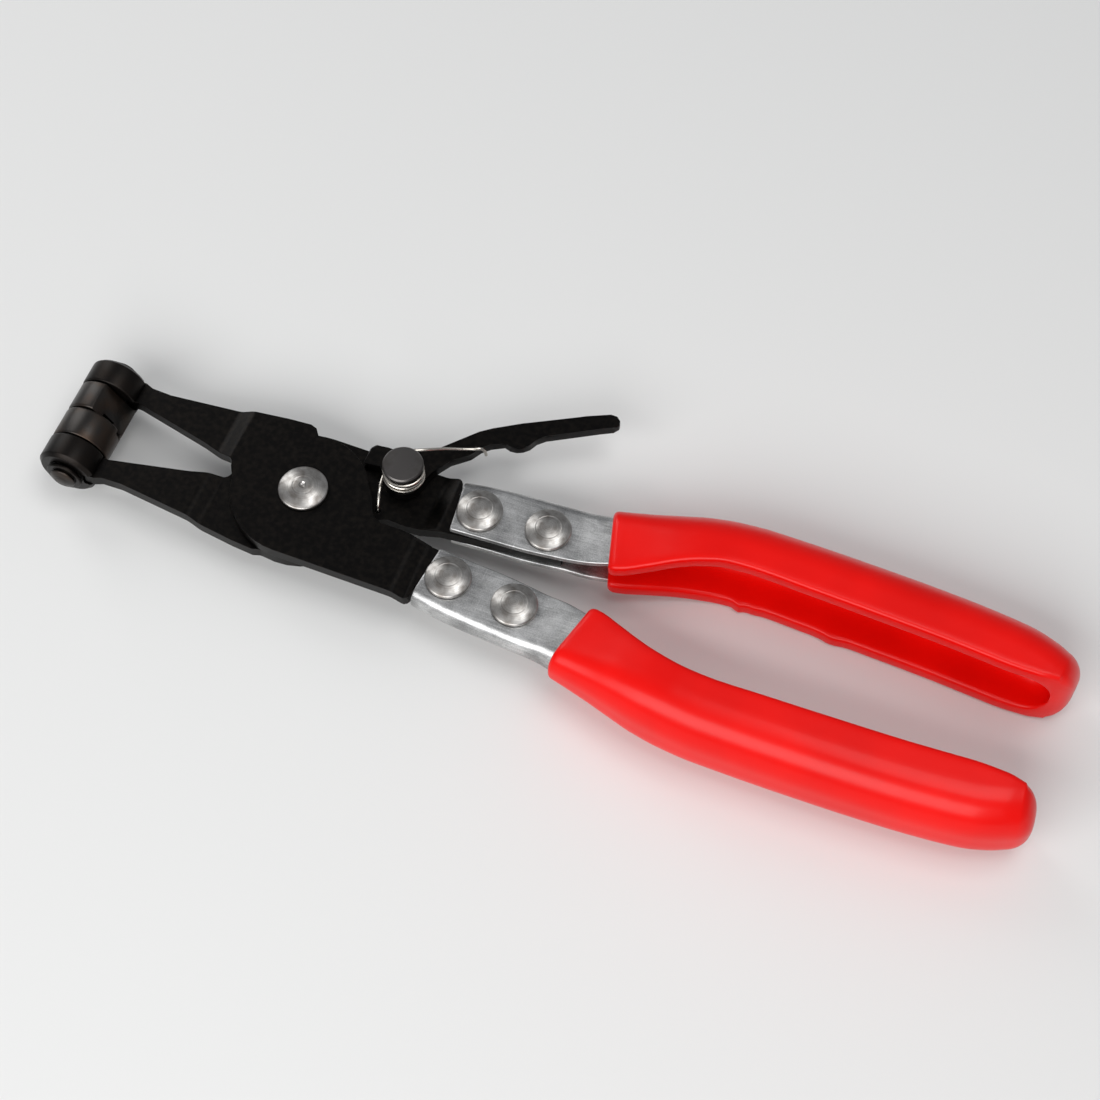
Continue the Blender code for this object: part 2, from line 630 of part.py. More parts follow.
def dipped_grip(name, side, parent):
    """The red dipped grip: an even coat over the pressed handle, closed at its end."""
    start = HANDLE_FRONT_REACH + DIP_START
    stations = dip_stations(start)
    whole = stations + closed_end_stations(stations[-1])
    loops = [outer_grip_loop(station, side, DIP_THICKNESS) for station in whole]
    grip = add_object(name, loft(name, loops, True), parent, RED_VINYL)
    front = station_at(start - CUT_OVERRUN)
    metal_end = (stations[-1][0] + CLEARANCE,) + stations[-1][1:]
    pocket = [front] + stations + [metal_end]
    pocket_loops = [channel_loop(station, side, CLEARANCE) for station in pocket]
    cut_away(grip, name + "_pocket", loft(name + "_pocket", pocket_loops, False))
    trough_end = (stations[-1][0] - TROUGH_END_GAP,) + stations[-1][1:]
    trough = [front] + stations[:-1] + [trough_end]
    trough_loops = [trough_loop(station, side, DIP_THICKNESS) for station in trough]
    cut_away(grip, name + "_trough", loft(name + "_trough", trough_loops, False))
    return grip


def lock_pin(parent):
    """The stepped pin that carries the lock lever, with a flat disc head over the spring."""
    bottom = NEAR_PLATE_BOTTOM - 2.0 * CLEARANCE - LOCK_WASHER_THICKNESS
    seat = NEAR_PLATE_TOP + CLEARANCE
    shoulder = LEVER_TOP + CLEARANCE
    formed = dome(LOCK_FORMED_RADIUS, LOCK_FORMED_HEIGHT, CLEARANCE, -bottom)
    profile = mirrored(formed, -1)[::-1]
    profile += [(LOCK_SHANK_RADIUS, bottom), (LOCK_SHANK_RADIUS, seat)]
    profile += [(LOCK_SHOULDER_RADIUS, seat), (LOCK_SHOULDER_RADIUS, shoulder)]
    profile += [(LOCK_NECK_RADIUS, shoulder), (LOCK_NECK_RADIUS, LOCK_HEAD_BOTTOM)]
    profile += [(LOCK_HEAD_RADIUS, LOCK_HEAD_BOTTOM), (LOCK_HEAD_RADIUS, LOCK_HEAD_TOP - LOCK_HEAD_CHAMFER)]
    profile += [(LOCK_HEAD_RADIUS - LOCK_HEAD_CHAMFER, LOCK_HEAD_TOP), (0.0, LOCK_HEAD_TOP)]
    pin = add_object("lock_pin", turned("lock_pin", profile, FINE_STEPS), parent, PIN_STEEL)
    pin.location = (LOCK_PIN_X, LOCK_PIN_Y, 0.0)
    return pin


def lever_outline():
    """Outline of the lock lever about its pin, counterclockwise from the nose."""
    points = [(LEVER_NOSE_REACH * x, LEVER_NOSE_REACH * y) for x, y in LEVER_NOSE_SHARES]
    points += [(LEVER_TAIL_REACH * x, LEVER_TAIL_REACH * y) for x, y in LEVER_UPPER_SHARES]
    points += [(LEVER_TAIL_REACH * x, LEVER_TAIL_REACH * y) for x, y in LEVER_LOWER_SHARES]
    end = LEVER_EYE_START + LEVER_EYE_SWEEP
    points += arc(0.0, 0.0, LEVER_EYE_RADIUS, LEVER_EYE_START, end, LEVER_EYE_STEPS)
    return points


def lock_lever(hinge):
    """The lock lever: nose towards the far plate's edge, finger hump and long tail."""
    shape = bmesh.new()
    corners = [shape.verts.new((x, y, LEVER_BOTTOM)) for x, y in lever_outline()]
    shape.faces.new(corners)
    grown = bmesh.ops.extrude_face_region(shape, geom=shape.faces[:])
    raised = [item for item in grown["geom"] if isinstance(item, bmesh.types.BMVert)]
    bmesh.ops.translate(shape, vec=(0.0, 0.0, LEVER_THICKNESS), verts=raised)
    lever = add_object("lock_lever", mesh_from(shape, "lock_lever", False), hinge, BLACK_STEEL)
    drill(lever, "lever_eye_hole", LOCK_SHOULDER_RADIUS + CLEARANCE, (0.0, 0.0), SMALL_STEPS)
    return lever


def plate_leg_points():
    """The leg from the coil's lowest turn down into the near plate, its end last."""
    heights = (COIL_BOTTOM, COIL_BOTTOM, (COIL_BOTTOM + LEVER_BOTTOM) / 2.0, LEVER_BOTTOM + WIRE_RADIUS)
    heights += (NEAR_PLATE_TOP - PLATE_LEG_DEPTH,)
    points = []
    for (x, y), height in zip(PLATE_LEG_SHARES, heights):
        points.append((LOCK_PIN_X + PLATE_LEG_REACH * x, LOCK_PIN_Y + PLATE_LEG_REACH * y, height))
    return points


def lever_leg_points():
    """The leg from the coil's highest turn along the lever, its end hooked over the lower edge."""
    resting = LEVER_TOP + CLEARANCE + WIRE_RADIUS
    middle = (COIL_TOP + resting) / 2.0
    heights = (COIL_TOP, middle, resting, resting, LEVER_TOP - WIRE_RADIUS, LEVER_BOTTOM + WIRE_RADIUS)
    points = []
    for (x, y), height in zip(LEVER_LEG_SHARES, heights):
        points.append((LOCK_PIN_X + LEVER_LEG_REACH * x, LOCK_PIN_Y + LEVER_LEG_REACH * y, height))
    return points


def coil_points():
    """The coil, wound clockwise from the plate's leg up to the lever's leg."""
    count = round(COIL_TURNS * COIL_STEPS)
    points = []
    for step in range(count + 1):
        turned_by = COIL_TURNS * step / count
        angle = COIL_START - math.tau * turned_by
        x = LOCK_PIN_X + COIL_RADIUS * math.cos(angle)
        y = LOCK_PIN_Y + COIL_RADIUS * math.sin(angle)
        points.append((x, y, COIL_BOTTOM + COIL_PITCH * turned_by))
    return points


def least_gap(points, apart):
    """Least clear distance between stretches of a wire that lie more than so many points apart."""
    least = math.inf
    for index, start in enumerate(points[:-1]):
        a0, a1 = Vector(start), Vector(points[index + 1])
        for other in range(index + apart, len(points) - 1):
            b0, b1 = Vector(points[other]), Vector(points[other + 1])
            for share in GAP_SAMPLE_SHARES:
                place = a0.lerp(a1, share)
                along = max(0.0, min(1.0, (place - b0).dot(b1 - b0) / (b1 - b0).length_squared))
                least = min(least, (place - b0.lerp(b1, along)).length)
    return least - 2.0 * WIRE_RADIUS


def lock_spring(parent):
    """The torsion spring round the lock pin, one unbroken wire."""
    points = plate_leg_points()[::-1] + coil_points() + lever_leg_points()
    gap = least_gap(points, COIL_STEPS // 2)
    print("lock_spring least gap to itself: %.6f m, wanted over %.6f m" % (gap, LEAST_WIRE_GAP))
    path = bpy.data.curves.new("lock_spring", "CURVE")
    path.dimensions = "3D"
    path.bevel_depth = WIRE_RADIUS
    path.bevel_resolution = 1
    path.use_fill_caps = True
    line = path.splines.new("POLY")
    line.points.add(len(points) - 1)
    for point, place in zip(line.points, points):
        point.co = (*place, 1.0)
    return add_object("lock_spring", path, parent, SPRING_STEEL)


def set_on_floor(root):
    """Moves the whole pair of pliers so that its box stands on the floor, centred over the origin."""
    bpy.context.view_layer.update()
    graph = bpy.context.evaluated_depsgraph_get()
    low = Vector((math.inf, math.inf, math.inf))
    high = -low
    for item in bpy.data.objects:
        if item.type == "EMPTY" or item.hide_render:
            continue
        solid = item.evaluated_get(graph)
        data = solid.to_mesh()
        for corner in data.vertices:
            place = solid.matrix_world @ corner.co
            low = Vector(map(min, low, place))
            high = Vector(map(max, high, place))
        solid.to_mesh_clear()
    middle = (low + high) / 2.0
    root.location = (-middle.x, -middle.y, -low.z)
    print("pivot axis at x %.6f y %.6f, middle plane at z %.6f" % tuple(root.location))


def build():
    clear_scene()
    root = add_empty("pliers", (0.0, 0.0, 0.0), None)
    far_half = add_empty("main_pivot", (0.0, 0.0, 0.0), root)
    lever_hinge = add_empty("lock_hinge", (LOCK_PIN_X, LOCK_PIN_Y, 0.0), root)
    near_tip = add_empty("near_tip_hinge", (-TIP_REACH, 0.0, 0.0), root)
    far_tip = add_empty("far_tip_hinge", (-TIP_REACH, 0.0, 0.0), far_half)
    near_plate = jaw_plate("lower_jaw_plate", -1, root)
    near_plate_holes(near_plate)
    jaw_plate("upper_jaw_plate", 1, far_half)
    pivot_rivet(root)
    below = NEAR_PLATE_BOTTOM - CLEARANCE
    pivot_bore = PIVOT_SHANK_RADIUS + CLEARANCE
    lock_bore = LOCK_SHANK_RADIUS + CLEARANCE
    lock_place = (LOCK_PIN_X, LOCK_PIN_Y)
    washer("pivot_washer", pivot_bore, PIVOT_WASHER_RADIUS, PIVOT_WASHER_THICKNESS, below, (0.0, 0.0), root)
    washer("lock_pin_washer", lock_bore, LOCK_WASHER_RADIUS, LOCK_WASHER_THICKNESS, below, lock_place, root)
    for word, side, parent, hinge, notch_turn in (
        ("lower", -1, root, near_tip, LOWER_TIP_TURN),
        ("upper", 1, far_half, far_tip, UPPER_TIP_TURN),
    ):
        tip_boss(word + "_tip_boss", side, parent)
        swivel_tip(word + "_swivel_tip", side, hinge, notch_turn)
        tip_spindle(word + "_tip_spindle", side, hinge)
        tip_collar(word + "_tip_collar", side, hinge)
    for word, side, parent in (("upper", 1, root), ("lower", -1, far_half)):
        handle_channel(word + "_handle_channel", side, parent)
        dipped_grip(word + "_grip", side, parent)
        for number, (x, y) in enumerate(rivet_places()):
            handle_rivet("%s_handle_rivet_%d" % (word, number + 1), (x, side * y), parent)
    lock_pin(root)
    lock_lever(lever_hinge)
    lock_spring(root)
    set_on_floor(root)


build()
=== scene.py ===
"""Hose clamp pliers: the visible model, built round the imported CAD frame.

Lengths are metres in the CAD's own frame. +X runs from the jaw tips to the handle ends, +Y to the far
handle, +Z up. Every piece's object stays at the origin, with its place in its mesh.
"""
import logging
import math
from abc import ABC, abstractmethod
from collections.abc import Callable, Iterator, Sequence
from contextlib import contextmanager
from dataclasses import dataclass
from enum import Enum

import bpy
from mathutils import Matrix, Vector


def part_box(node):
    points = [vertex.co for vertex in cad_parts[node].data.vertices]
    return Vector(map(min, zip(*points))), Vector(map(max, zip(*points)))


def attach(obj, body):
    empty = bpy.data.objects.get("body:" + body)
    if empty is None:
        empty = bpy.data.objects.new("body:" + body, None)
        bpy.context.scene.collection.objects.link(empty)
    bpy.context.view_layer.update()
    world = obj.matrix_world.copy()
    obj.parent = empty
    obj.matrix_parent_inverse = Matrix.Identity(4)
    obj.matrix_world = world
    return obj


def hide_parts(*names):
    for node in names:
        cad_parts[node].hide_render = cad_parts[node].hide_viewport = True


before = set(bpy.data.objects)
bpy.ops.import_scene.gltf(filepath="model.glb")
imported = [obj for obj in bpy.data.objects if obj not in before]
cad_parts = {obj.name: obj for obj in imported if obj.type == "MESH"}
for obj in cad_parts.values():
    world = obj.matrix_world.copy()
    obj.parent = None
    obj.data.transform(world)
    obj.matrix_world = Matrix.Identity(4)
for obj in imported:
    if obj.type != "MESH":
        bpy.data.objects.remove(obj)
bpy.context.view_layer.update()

LOG = logging.getLogger("pliers")

Point = tuple[float, float]
Corner = tuple[float, float, float]
Colour = tuple[float, float, float]

MM = 0.001
CLEARANCE = 0.3 * MM
PLATE_THICKNESS = 2.8 * MM
SHEET_THICKNESS = 1.4 * MM
MERGE_DISTANCE = 0.002 * MM
ON_LINE = 0.005 * MM
POLE_RADIUS = 0.05 * MM
FLAT_ANGLE = math.radians(1.0)
SHARP_ANGLE = math.radians(33.0)
PRESSED_ANGLE = math.radians(40.0)
MILLED_ANGLE = math.radians(50.0)
FORMED_RING = 0.6
ROUND_SEGMENTS = 96
SMALL_SEGMENTS = 64
# What is left of a grip's hollow where it is filled, as shares of its depth and height
CLOSED_DEPTH, CLOSED_PINCH = 0.001, 0.05


class Body(Enum):
    """The CAD bodies that the pieces ride on."""

    LOWER_HALF = "lower_jaw_half"
    UPPER_HALF = "upper_jaw_half"
    LEVER = "lock_lever"
    LOWER_TIP = "lower_tip"
    UPPER_TIP = "upper_tip"


class Slot(Enum):
    """The record's material slots."""

    BLACK_STEEL = "black_steel"
    TIP_STEEL = "tip_steel"
    RIVET_STEEL = "rivet_steel"
    PIN_STEEL = "pin_steel"
    SPRING_STEEL = "spring_steel"
    ZINC_PLATE = "zinc_plate"
    RED_VINYL = "red_vinyl"


class Axis(Enum):
    """The two directions that turned pieces stand along."""

    UP = "up"
    ACROSS = "across"


class Side(Enum):
    """The far and the near side of the pliers, as a sign along Y."""

    FAR = 1
    NEAR = -1


def pivot_place() -> Vector:
    """The main pivot's axis at the height of the plane where the two plates meet, from the CAD nodes.

    Returns:
        The point in the CAD frame.
    """
    rivet_low, rivet_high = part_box("main_pivot_rivet")
    grip_low, grip_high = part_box("upper_grip")
    middle = (rivet_low + rivet_high) / 2.0
    return Vector((middle.x, middle.y, (grip_low.z + grip_high.z) / 2.0))


PIVOT = pivot_place()


# Shader maths


class Term:
    """A shader socket that takes part in Python arithmetic, one Math node for each operation."""

    def __init__(self, paint: "Paint", socket: bpy.types.NodeSocket) -> None:
        """Wraps one output socket of a paint's tree."""
        self.paint = paint
        self.socket = socket

    def _math(self, operation: str, *values: "Term | float") -> "Term":
        """Adds one Math node over the values, in their order."""
        return self.paint.node("ShaderNodeMath", {"operation": operation}, dict(enumerate(values)))

    def __add__(self, other: "Term | float") -> "Term":
        """This plus other."""
        return self._math("ADD", self, other)

    def __radd__(self, other: float) -> "Term":
        """Other plus this."""
        return self._math("ADD", other, self)

    def __sub__(self, other: "Term | float") -> "Term":
        """This less other."""
        return self._math("SUBTRACT", self, other)

    def __rsub__(self, other: float) -> "Term":
        """Other less this."""
        return self._math("SUBTRACT", other, self)

    def __mul__(self, other: "Term | float") -> "Term":
        """This times other."""
        return self._math("MULTIPLY", self, other)

    def __pow__(self, power: float) -> "Term":
        """This to a power."""
        return self._math("POWER", self, power)

    def over(self, edge: float) -> "Term":
        """1 where this is greater than an edge, and 0 elsewhere."""
        return self._math("GREATER_THAN", self, edge)

    def under(self, edge: float) -> "Term":
        """1 where this is less than an edge, and 0 elsewhere."""
        return self._math("LESS_THAN", self, edge)

    def sine(self) -> "Term":
        """Sine of this."""
        return self._math("SINE", self)

    def spread(self, low: float, high: float) -> "Term":
        """This with low moved to 0 and high to 1, held between them.

        Args:
            low: The value that becomes 0.
            high: The value that becomes 1.

        Returns:
            The clamped term.
        """
        return self.paint.node(
            "ShaderNodeMapRange", {"clamp": True}, {"Value": self, "From Min": low, "From Max": high}, "Result"
        )


class Paint:
    """Builds the node tree of one material."""

    def __init__(self, name: str, shift: Vector | None = None) -> None:
        """Starts a material.

        Args:
            name: The material's name.
            shift: The point of the piece that its pattern is centred on.
        """
        self.material = bpy.data.materials.new(name)
        self.material.use_nodes = True
        self.tree = self.material.node_tree
        self.shader = self.tree.nodes["Principled BSDF"]
        coordinates = self.node("ShaderNodeTexCoord", {}, {}, "Object")
        centre = shift or PIVOT
        self.place = self.node(
            "ShaderNodeVectorMath", {"operation": "SUBTRACT"}, {0: coordinates, 1: tuple(centre)}, "Vector"
        )

    def node(self, kind: str, settings: dict, inputs: dict, output: int | str = 0) -> Term:
        """Adds a node.

        Args:
            kind: The node's type.
            settings: Its own settings, set first; stops are a ramp's places and colours.
            inputs: The values or terms of its sockets, by name or number.
            output: The socket that is wanted.

        Returns:
            The output as a term.
        """
        made = self.tree.nodes.new(kind)
        for key, value in settings.items():
            if key == "stops":
                self._fill_ramp(made.color_ramp, value)
            else:
                setattr(made, key, value)
        for key, value in inputs.items():
            if isinstance(value, Term):
                self.tree.links.new(value.socket, made.inputs[key])
            else:
                made.inputs[key].default_value = value
        return Term(self, made.outputs[output])

    @staticmethod
    def _fill_ramp(ramp: bpy.types.ColorRamp, stops: Sequence[tuple[float, Colour]]) -> None:
        """Gives a ramp its stops, by place and colour."""
        while len(ramp.elements) < len(stops):
            ramp.elements.new(1.0)
        for element, (place, colour) in zip(ramp.elements, stops):
            element.position = place
            element.color = (*colour, 1.0)

    def parts(self) -> tuple[Term, Term, Term]:
        """The place on the piece as three terms."""
        split = self.tree.nodes.new("ShaderNodeSeparateXYZ")
        self.tree.links.new(self.place.socket, split.inputs[0])
        return tuple(Term(self, output) for output in split.outputs)

    def noise(self, scale: float, detail: float = 4.0, stretch: Sequence[float] = (1.0, 1.0, 1.0)) -> Term:
        """Noise over the piece.

        Args:
            scale: Lumps a metre.
            detail: How many finer layers it has.
            stretch: Scale along each axis.

        Returns:
            The noise from 0 to 1.
        """
        place = self.node(
            "ShaderNodeVectorMath", {"operation": "MULTIPLY"}, {0: self.place, 1: tuple(stretch)}, "Vector"
        )
        return self.node("ShaderNodeTexNoise", {}, {"Vector": place, "Scale": scale, "Detail": detail}, "Fac")

    def lines(self, value: Term, scale: float) -> Term:
        """Fine irregular lines along which a value is constant.

        Args:
            value: What runs across the lines, in metres.
            scale: Lines a metre.

        Returns:
            The lines from 0 to 1.
        """
        along = self.node("ShaderNodeCombineXYZ", {}, {0: value * scale}, "Vector")
        return self.node("ShaderNodeTexNoise", {}, {"Vector": along, "Scale": 1.0, "Detail": 3.0}, "Fac")

    def blend(self, share: Term, low: Term | Colour, high: Colour) -> Term:
        """A colour between two, by a share.

        Args:
            share: How much of the second colour shows.
            low: The first colour, or another term's.
            high: The second colour.

        Returns:
            The mixed colour.
        """
        under = low if isinstance(low, Term) else (*low, 1.0)
        inputs = {0: share, 6: under, 7: (*high, 1.0)}
        return self.node("ShaderNodeMix", {"data_type": "RGBA"}, inputs, 2)

    def relief(self, height: Term, depth: float, strength: float = 1.0) -> Term:
        """A bump from a height.

        Args:
            height: The height, from 0 to 1.
            depth: What 1 stands for, in metres.
            strength: How much of it shows.

        Returns:
            The bumped normal.
        """
        return self.node("ShaderNodeBump", {}, {"Strength": strength, "Distance": depth, "Height": height}, "Normal")

    def set(self, **values: Term | float | Colour) -> None:
        """Sets sockets of the surface, with spaces in their names written as underscores."""
        for key, value in values.items():
            socket = self.shader.inputs[key.replace("_", " ")]
            if isinstance(value, Term):
                self.tree.links.new(value.socket, socket)
            elif isinstance(value, tuple):
                socket.default_value = (*value, 1.0)
            else:
                socket.default_value = value


# Finishes


def shade(colour: Colour, share: float) -> Colour:
    """A colour with every part multiplied by a share."""
    return tuple(share * part for part in colour)


@dataclass(frozen=True)
class Finish(ABC):
    """One finish of the pliers.

    Attributes:
        slot: The record's material slot, or None on the floor.
        colour: Its main colour.
        roughness: Its least roughness.
        metallic: How metallic it is.
    """

    slot: Slot | None
    colour: Colour
    roughness: float
    metallic: float

    def material(self, name: str, centre: Vector | None = None) -> bpy.types.Material:
        """Makes the finish's material for a piece.

        Args:
            name: The material's name.
            centre: The point that turned marks are centred on.

        Returns:
            The material.
        """
        paint = Paint(name, centre)
        paint.set(Metallic=self.metallic)
        self.lay(paint)
        return paint.material

    @abstractmethod
    def lay(self, paint: Paint) -> None:
        """Lays the finish's pattern on a paint."""


@dataclass(frozen=True)
class BlackOxide(Finish):
    """Satin black plate, a little brown where the film is thin."""

    thin_colour: Colour = (0.017, 0.0145, 0.0125)
    mottle_scale: float = 900.0
    grain_scale: float = 5200.0
    scuff_stretch: Corner = (0.12, 1.0, 1.0)
    relief_depth: float = 0.006 * MM

    def lay(self, paint: Paint) -> None:
        """Mottled film over fine shot texture."""
        mottle = paint.noise(self.mottle_scale, 6.0).spread(0.40, 0.75)
        grain = paint.noise(self.grain_scale, 2.0)
        scuff = paint.noise(self.mottle_scale, 3.0, self.scuff_stretch).spread(0.55, 0.80)
        paint.set(
            Base_Color=paint.blend(mottle, self.colour, self.thin_colour),
            Roughness=self.roughness + mottle * 0.06 + grain * 0.06 - scuff * 0.05,
            Normal=paint.relief(grain + mottle * 0.3, self.relief_depth),
        )


@dataclass(frozen=True)
class WornEdge(Finish):
    """The pressed plate's rounded edges, where the black is rubbed."""

    bare_colour: Colour = (0.55, 0.53, 0.50)
    rub_scale: float = 650.0
    relief_depth: float = 0.004 * MM

    def lay(self, paint: Paint) -> None:
        """Patches where bright metal shows through."""
        rub = paint.noise(self.rub_scale, 5.0).spread(0.34, 0.60)
        paint.set(
            Base_Color=paint.blend(rub, self.colour, self.bare_colour),
            Roughness=self.roughness + (1.0 - rub) * 0.08,
            Normal=paint.relief(rub, self.relief_depth),
        )


@dataclass(frozen=True)
class ZincPlate(Finish):
    """Bright zinc on rolled sheet: fine grain, drawn lines along the handle and a few rubs."""

    dull_colour: Colour = (0.30, 0.30, 0.30)
    rubbed_colour: Colour = (0.80, 0.80, 0.80)
    cloud_scale: float = 140.0
    grain_scale: float = 3600.0
    drawn_scale: float = 2600.0
    drawn_stretch: Corner = (0.05, 1.0, 1.0)
    rub_scale: float = 1500.0
    rub_stretch: Corner = (1.0, 0.04, 0.3)
    relief_depth: float = 0.010 * MM

    def lay(self, paint: Paint) -> None:
        """Grain, lines of the rolling and cross rubs."""
        cloud = paint.noise(self.cloud_scale, 5.0).spread(0.30, 0.72)
        drawn = paint.noise(self.drawn_scale, 3.0, self.drawn_stretch)
        rubs = paint.noise(self.rub_scale, 2.0, self.rub_stretch).spread(0.66, 0.78)
        grain = paint.noise(self.grain_scale, 2.0)
        tone = (cloud * 0.35 + drawn * 0.3 + grain * 0.35).spread(0.35, 0.66)
        colour = paint.blend(tone, self.dull_colour, self.colour)
        paint.set(
            Base_Color=paint.blend(rubs * 0.35, colour, self.rubbed_colour),
            Roughness=self.roughness + drawn * 0.10 + grain * 0.05 - rubs * 0.06,
            Normal=paint.relief(drawn * 0.6 + grain * 0.4, self.relief_depth),
        )


@dataclass(frozen=True)
class FormedHead(Finish):
    """A rivet's bright head with the concentric marks of the forming tool."""

    dirt_colour: Colour = (0.15, 0.13, 0.115)
    ring_width: float = 0.42 * MM
    line_scale: float = 9000.0
    dirt_scale: float = 420.0
    relief_depth: float = 0.012 * MM

    def lay(self, paint: Paint) -> None:
        """Rings about the rivet's own axis."""
        x, y, _ = paint.parts()
        radius = (x * x + y * y) ** 0.5
        rings = (radius * (math.tau / self.ring_width)).sine() * 0.5 + 0.5
        fine = paint.lines(radius, self.line_scale)
        dirt = paint.noise(self.dirt_scale, 5.0).spread(0.40, 0.66)
        colour = paint.blend(fine.spread(0.30, 0.70), shade(self.colour, 0.40), self.colour)
        paint.set(
            Base_Color=paint.blend(dirt * 0.75, colour, self.dirt_colour),
            Roughness=self.roughness + fine * 0.10 + dirt * 0.08,
            Normal=paint.relief(rings * 0.35 + fine * 0.65, self.relief_depth),
        )


@dataclass(frozen=True)
class TurnedDark(Finish):
    """Dark turned steel with fine lathe lines round its axis.

    Attributes:
        axis: The way the piece was turned.
        patch_colour: The colour of oiled patches.
        patch_share: How much of them shows.
        patch_scale: Patches a metre.
        line_scales: Lathe lines a metre, for each axis.
        relief_depth: Depth of the lines.
    """

    axis: Axis = Axis.UP
    patch_colour: Colour = (0.10, 0.06, 0.035)
    patch_share: float = 0.5
    patch_scale: float = 170.0
    line_scales: Point = (8000.0, 6500.0)
    relief_depth: float = 0.010 * MM

    def lay(self, paint: Paint) -> None:
        """Lathe lines and warm patches."""
        x, y, z = paint.parts()
        across, along, scale = (y, z, self.line_scales[0]) if self.axis is Axis.UP else (z, y, self.line_scales[1])
        radius = (x * x + across * across) ** 0.5
        cut = paint.lines(radius + along, scale)
        patch = paint.noise(self.patch_scale, 4.0).spread(0.42, 0.66)
        colour = paint.blend(cut, shade(self.colour, 0.70), self.colour)
        paint.set(
            Base_Color=paint.blend(patch * self.patch_share, colour, self.patch_colour),
            Roughness=self.roughness + cut * 0.12 + patch * 0.06,
            Normal=paint.relief(cut, self.relief_depth),
        )


@dataclass(frozen=True)
class DrawnWire(Finish):
    """Bright spring wire with faint drawing marks."""

    cloud_scale: float = 900.0
    relief_depth: float = 0.004 * MM

    def lay(self, paint: Paint) -> None:
        """Faint marks and clouding."""
        cloud = paint.noise(self.cloud_scale, 3.0)
        paint.set(
            Base_Color=paint.blend(cloud, shade(self.colour, 0.75), self.colour),
            Roughness=self.roughness + cloud * 0.12,
            Normal=paint.relief(cloud, self.relief_depth),
        )


@dataclass(frozen=True)
class DippedVinyl(Finish):
    """Glossy dipped plastic: soft orange peel, slow waves and a few specks."""

    deep_colour: Colour = (0.74, 0.0025, 0.001)
    speck_colour: Colour = (0.16, 0.004, 0.003)
    wave_scale: float = 60.0
    peel_scale: float = 850.0
    speck_cells: float = 75.0
    speck_reach: float = 0.022
    speck_rarity: float = 0.72
    relief_depth: float = 0.09 * MM
    coat: float = 0.06
    coat_roughness: float = 0.12
    shine: float = 0.22

    def lay(self, paint: Paint) -> None:
        """Peel, waves and specks."""
        wave = paint.noise(self.wave_scale, 2.0)
        peel = paint.noise(self.peel_scale, 2.0)
        cells = {"Vector": paint.place, "Scale": self.speck_cells}
        near = paint.node("ShaderNodeTexVoronoi", {}, cells, "Distance").under(self.speck_reach)
        chance = paint.node("ShaderNodeTexVoronoi", {}, cells, "Color")
        rare = paint.node("ShaderNodeSeparateColor", {}, {0: chance}, 0).over(self.speck_rarity)
        colour = paint.blend(wave.spread(0.30, 0.70), self.deep_colour, self.colour)
        paint.set(
            Base_Color=paint.blend(near * rare * 0.8, colour, self.speck_colour),
            Roughness=self.roughness + peel * 0.08 + wave * 0.05,
            Normal=paint.relief(wave * 0.8 + peel * 0.12, self.relief_depth),
            Coat_Weight=self.coat,
            Coat_Roughness=self.coat_roughness,
            Specular_IOR_Level=self.shine,
        )


@dataclass(frozen=True)
class StudioFloor(Finish):
    """The pale plain floor."""

    def lay(self, paint: Paint) -> None:
        """An even matt tone."""
        tone = paint.noise(3.0, 2.0)
        paint.set(
            Base_Color=paint.blend(tone, self.colour, shade(self.colour, 1.02)), Roughness=self.roughness
        )


BLACK_PLATE = BlackOxide(Slot.BLACK_STEEL, (0.0085, 0.008, 0.0078), 0.34, 0.95)
BLACK_EDGE = WornEdge(Slot.BLACK_STEEL, (0.050, 0.047, 0.044), 0.24, 1.0)
ZINC = ZincPlate(Slot.ZINC_PLATE, (0.74, 0.74, 0.735), 0.31, 1.0)
RIVET = FormedHead(Slot.RIVET_STEEL, (0.74, 0.72, 0.69), 0.27, 1.0)
PIN = TurnedDark(Slot.PIN_STEEL, (0.14, 0.132, 0.128), 0.30, 0.95, Axis.UP, (0.05, 0.042, 0.038), 0.7)
TIP = TurnedDark(Slot.TIP_STEEL, (0.060, 0.056, 0.053), 0.28, 0.95, Axis.ACROSS, (0.075, 0.042, 0.024), 0.5)
BOSS = TurnedDark(Slot.TIP_STEEL, (0.020, 0.0185, 0.0175), 0.30, 0.95, Axis.ACROSS, (0.022, 0.015, 0.011), 0.4)
WIRE = DrawnWire(Slot.SPRING_STEEL, (0.66, 0.62, 0.56), 0.20, 1.0)
VINYL = DippedVinyl(Slot.RED_VINYL, (0.86, 0.0035, 0.0015), 0.24, 0.0)
FLOOR = StudioFloor(None, (0.78, 0.78, 0.77), 0.75, 0.0)


# The upper grip's runs, as Handle.drips
UPPER_DRIPS = (
    (95.8 * MM, 1.2 * MM, 0.8 * MM), (99.0 * MM, 2.0 * MM, 0.35 * MM), (117.5 * MM, 2.4 * MM, 0.55 * MM),
)


# Modelling moves


def activate(piece: bpy.types.Object) -> None:
    """Makes a piece the only selected one and the active one, in object mode."""
    current = bpy.context.view_layer.objects.active
    if current is not None and current.mode != "OBJECT":
        bpy.ops.object.mode_set(mode="OBJECT")
    bpy.ops.object.select_all(action="DESELECT")
    piece.select_set(True)
    bpy.context.view_layer.objects.active = piece


@contextmanager
def editing(piece: bpy.types.Object, mode: str = "VERT") -> Iterator[None]:
    """Edit mode on one piece.

    Args:
        piece: The piece.
        mode: What is selected: VERT, EDGE or FACE.
    """
    activate(piece)
    bpy.ops.object.mode_set(mode="EDIT")
    bpy.ops.mesh.select_mode(type=mode)
    yield
    bpy.ops.object.mode_set(mode="OBJECT")


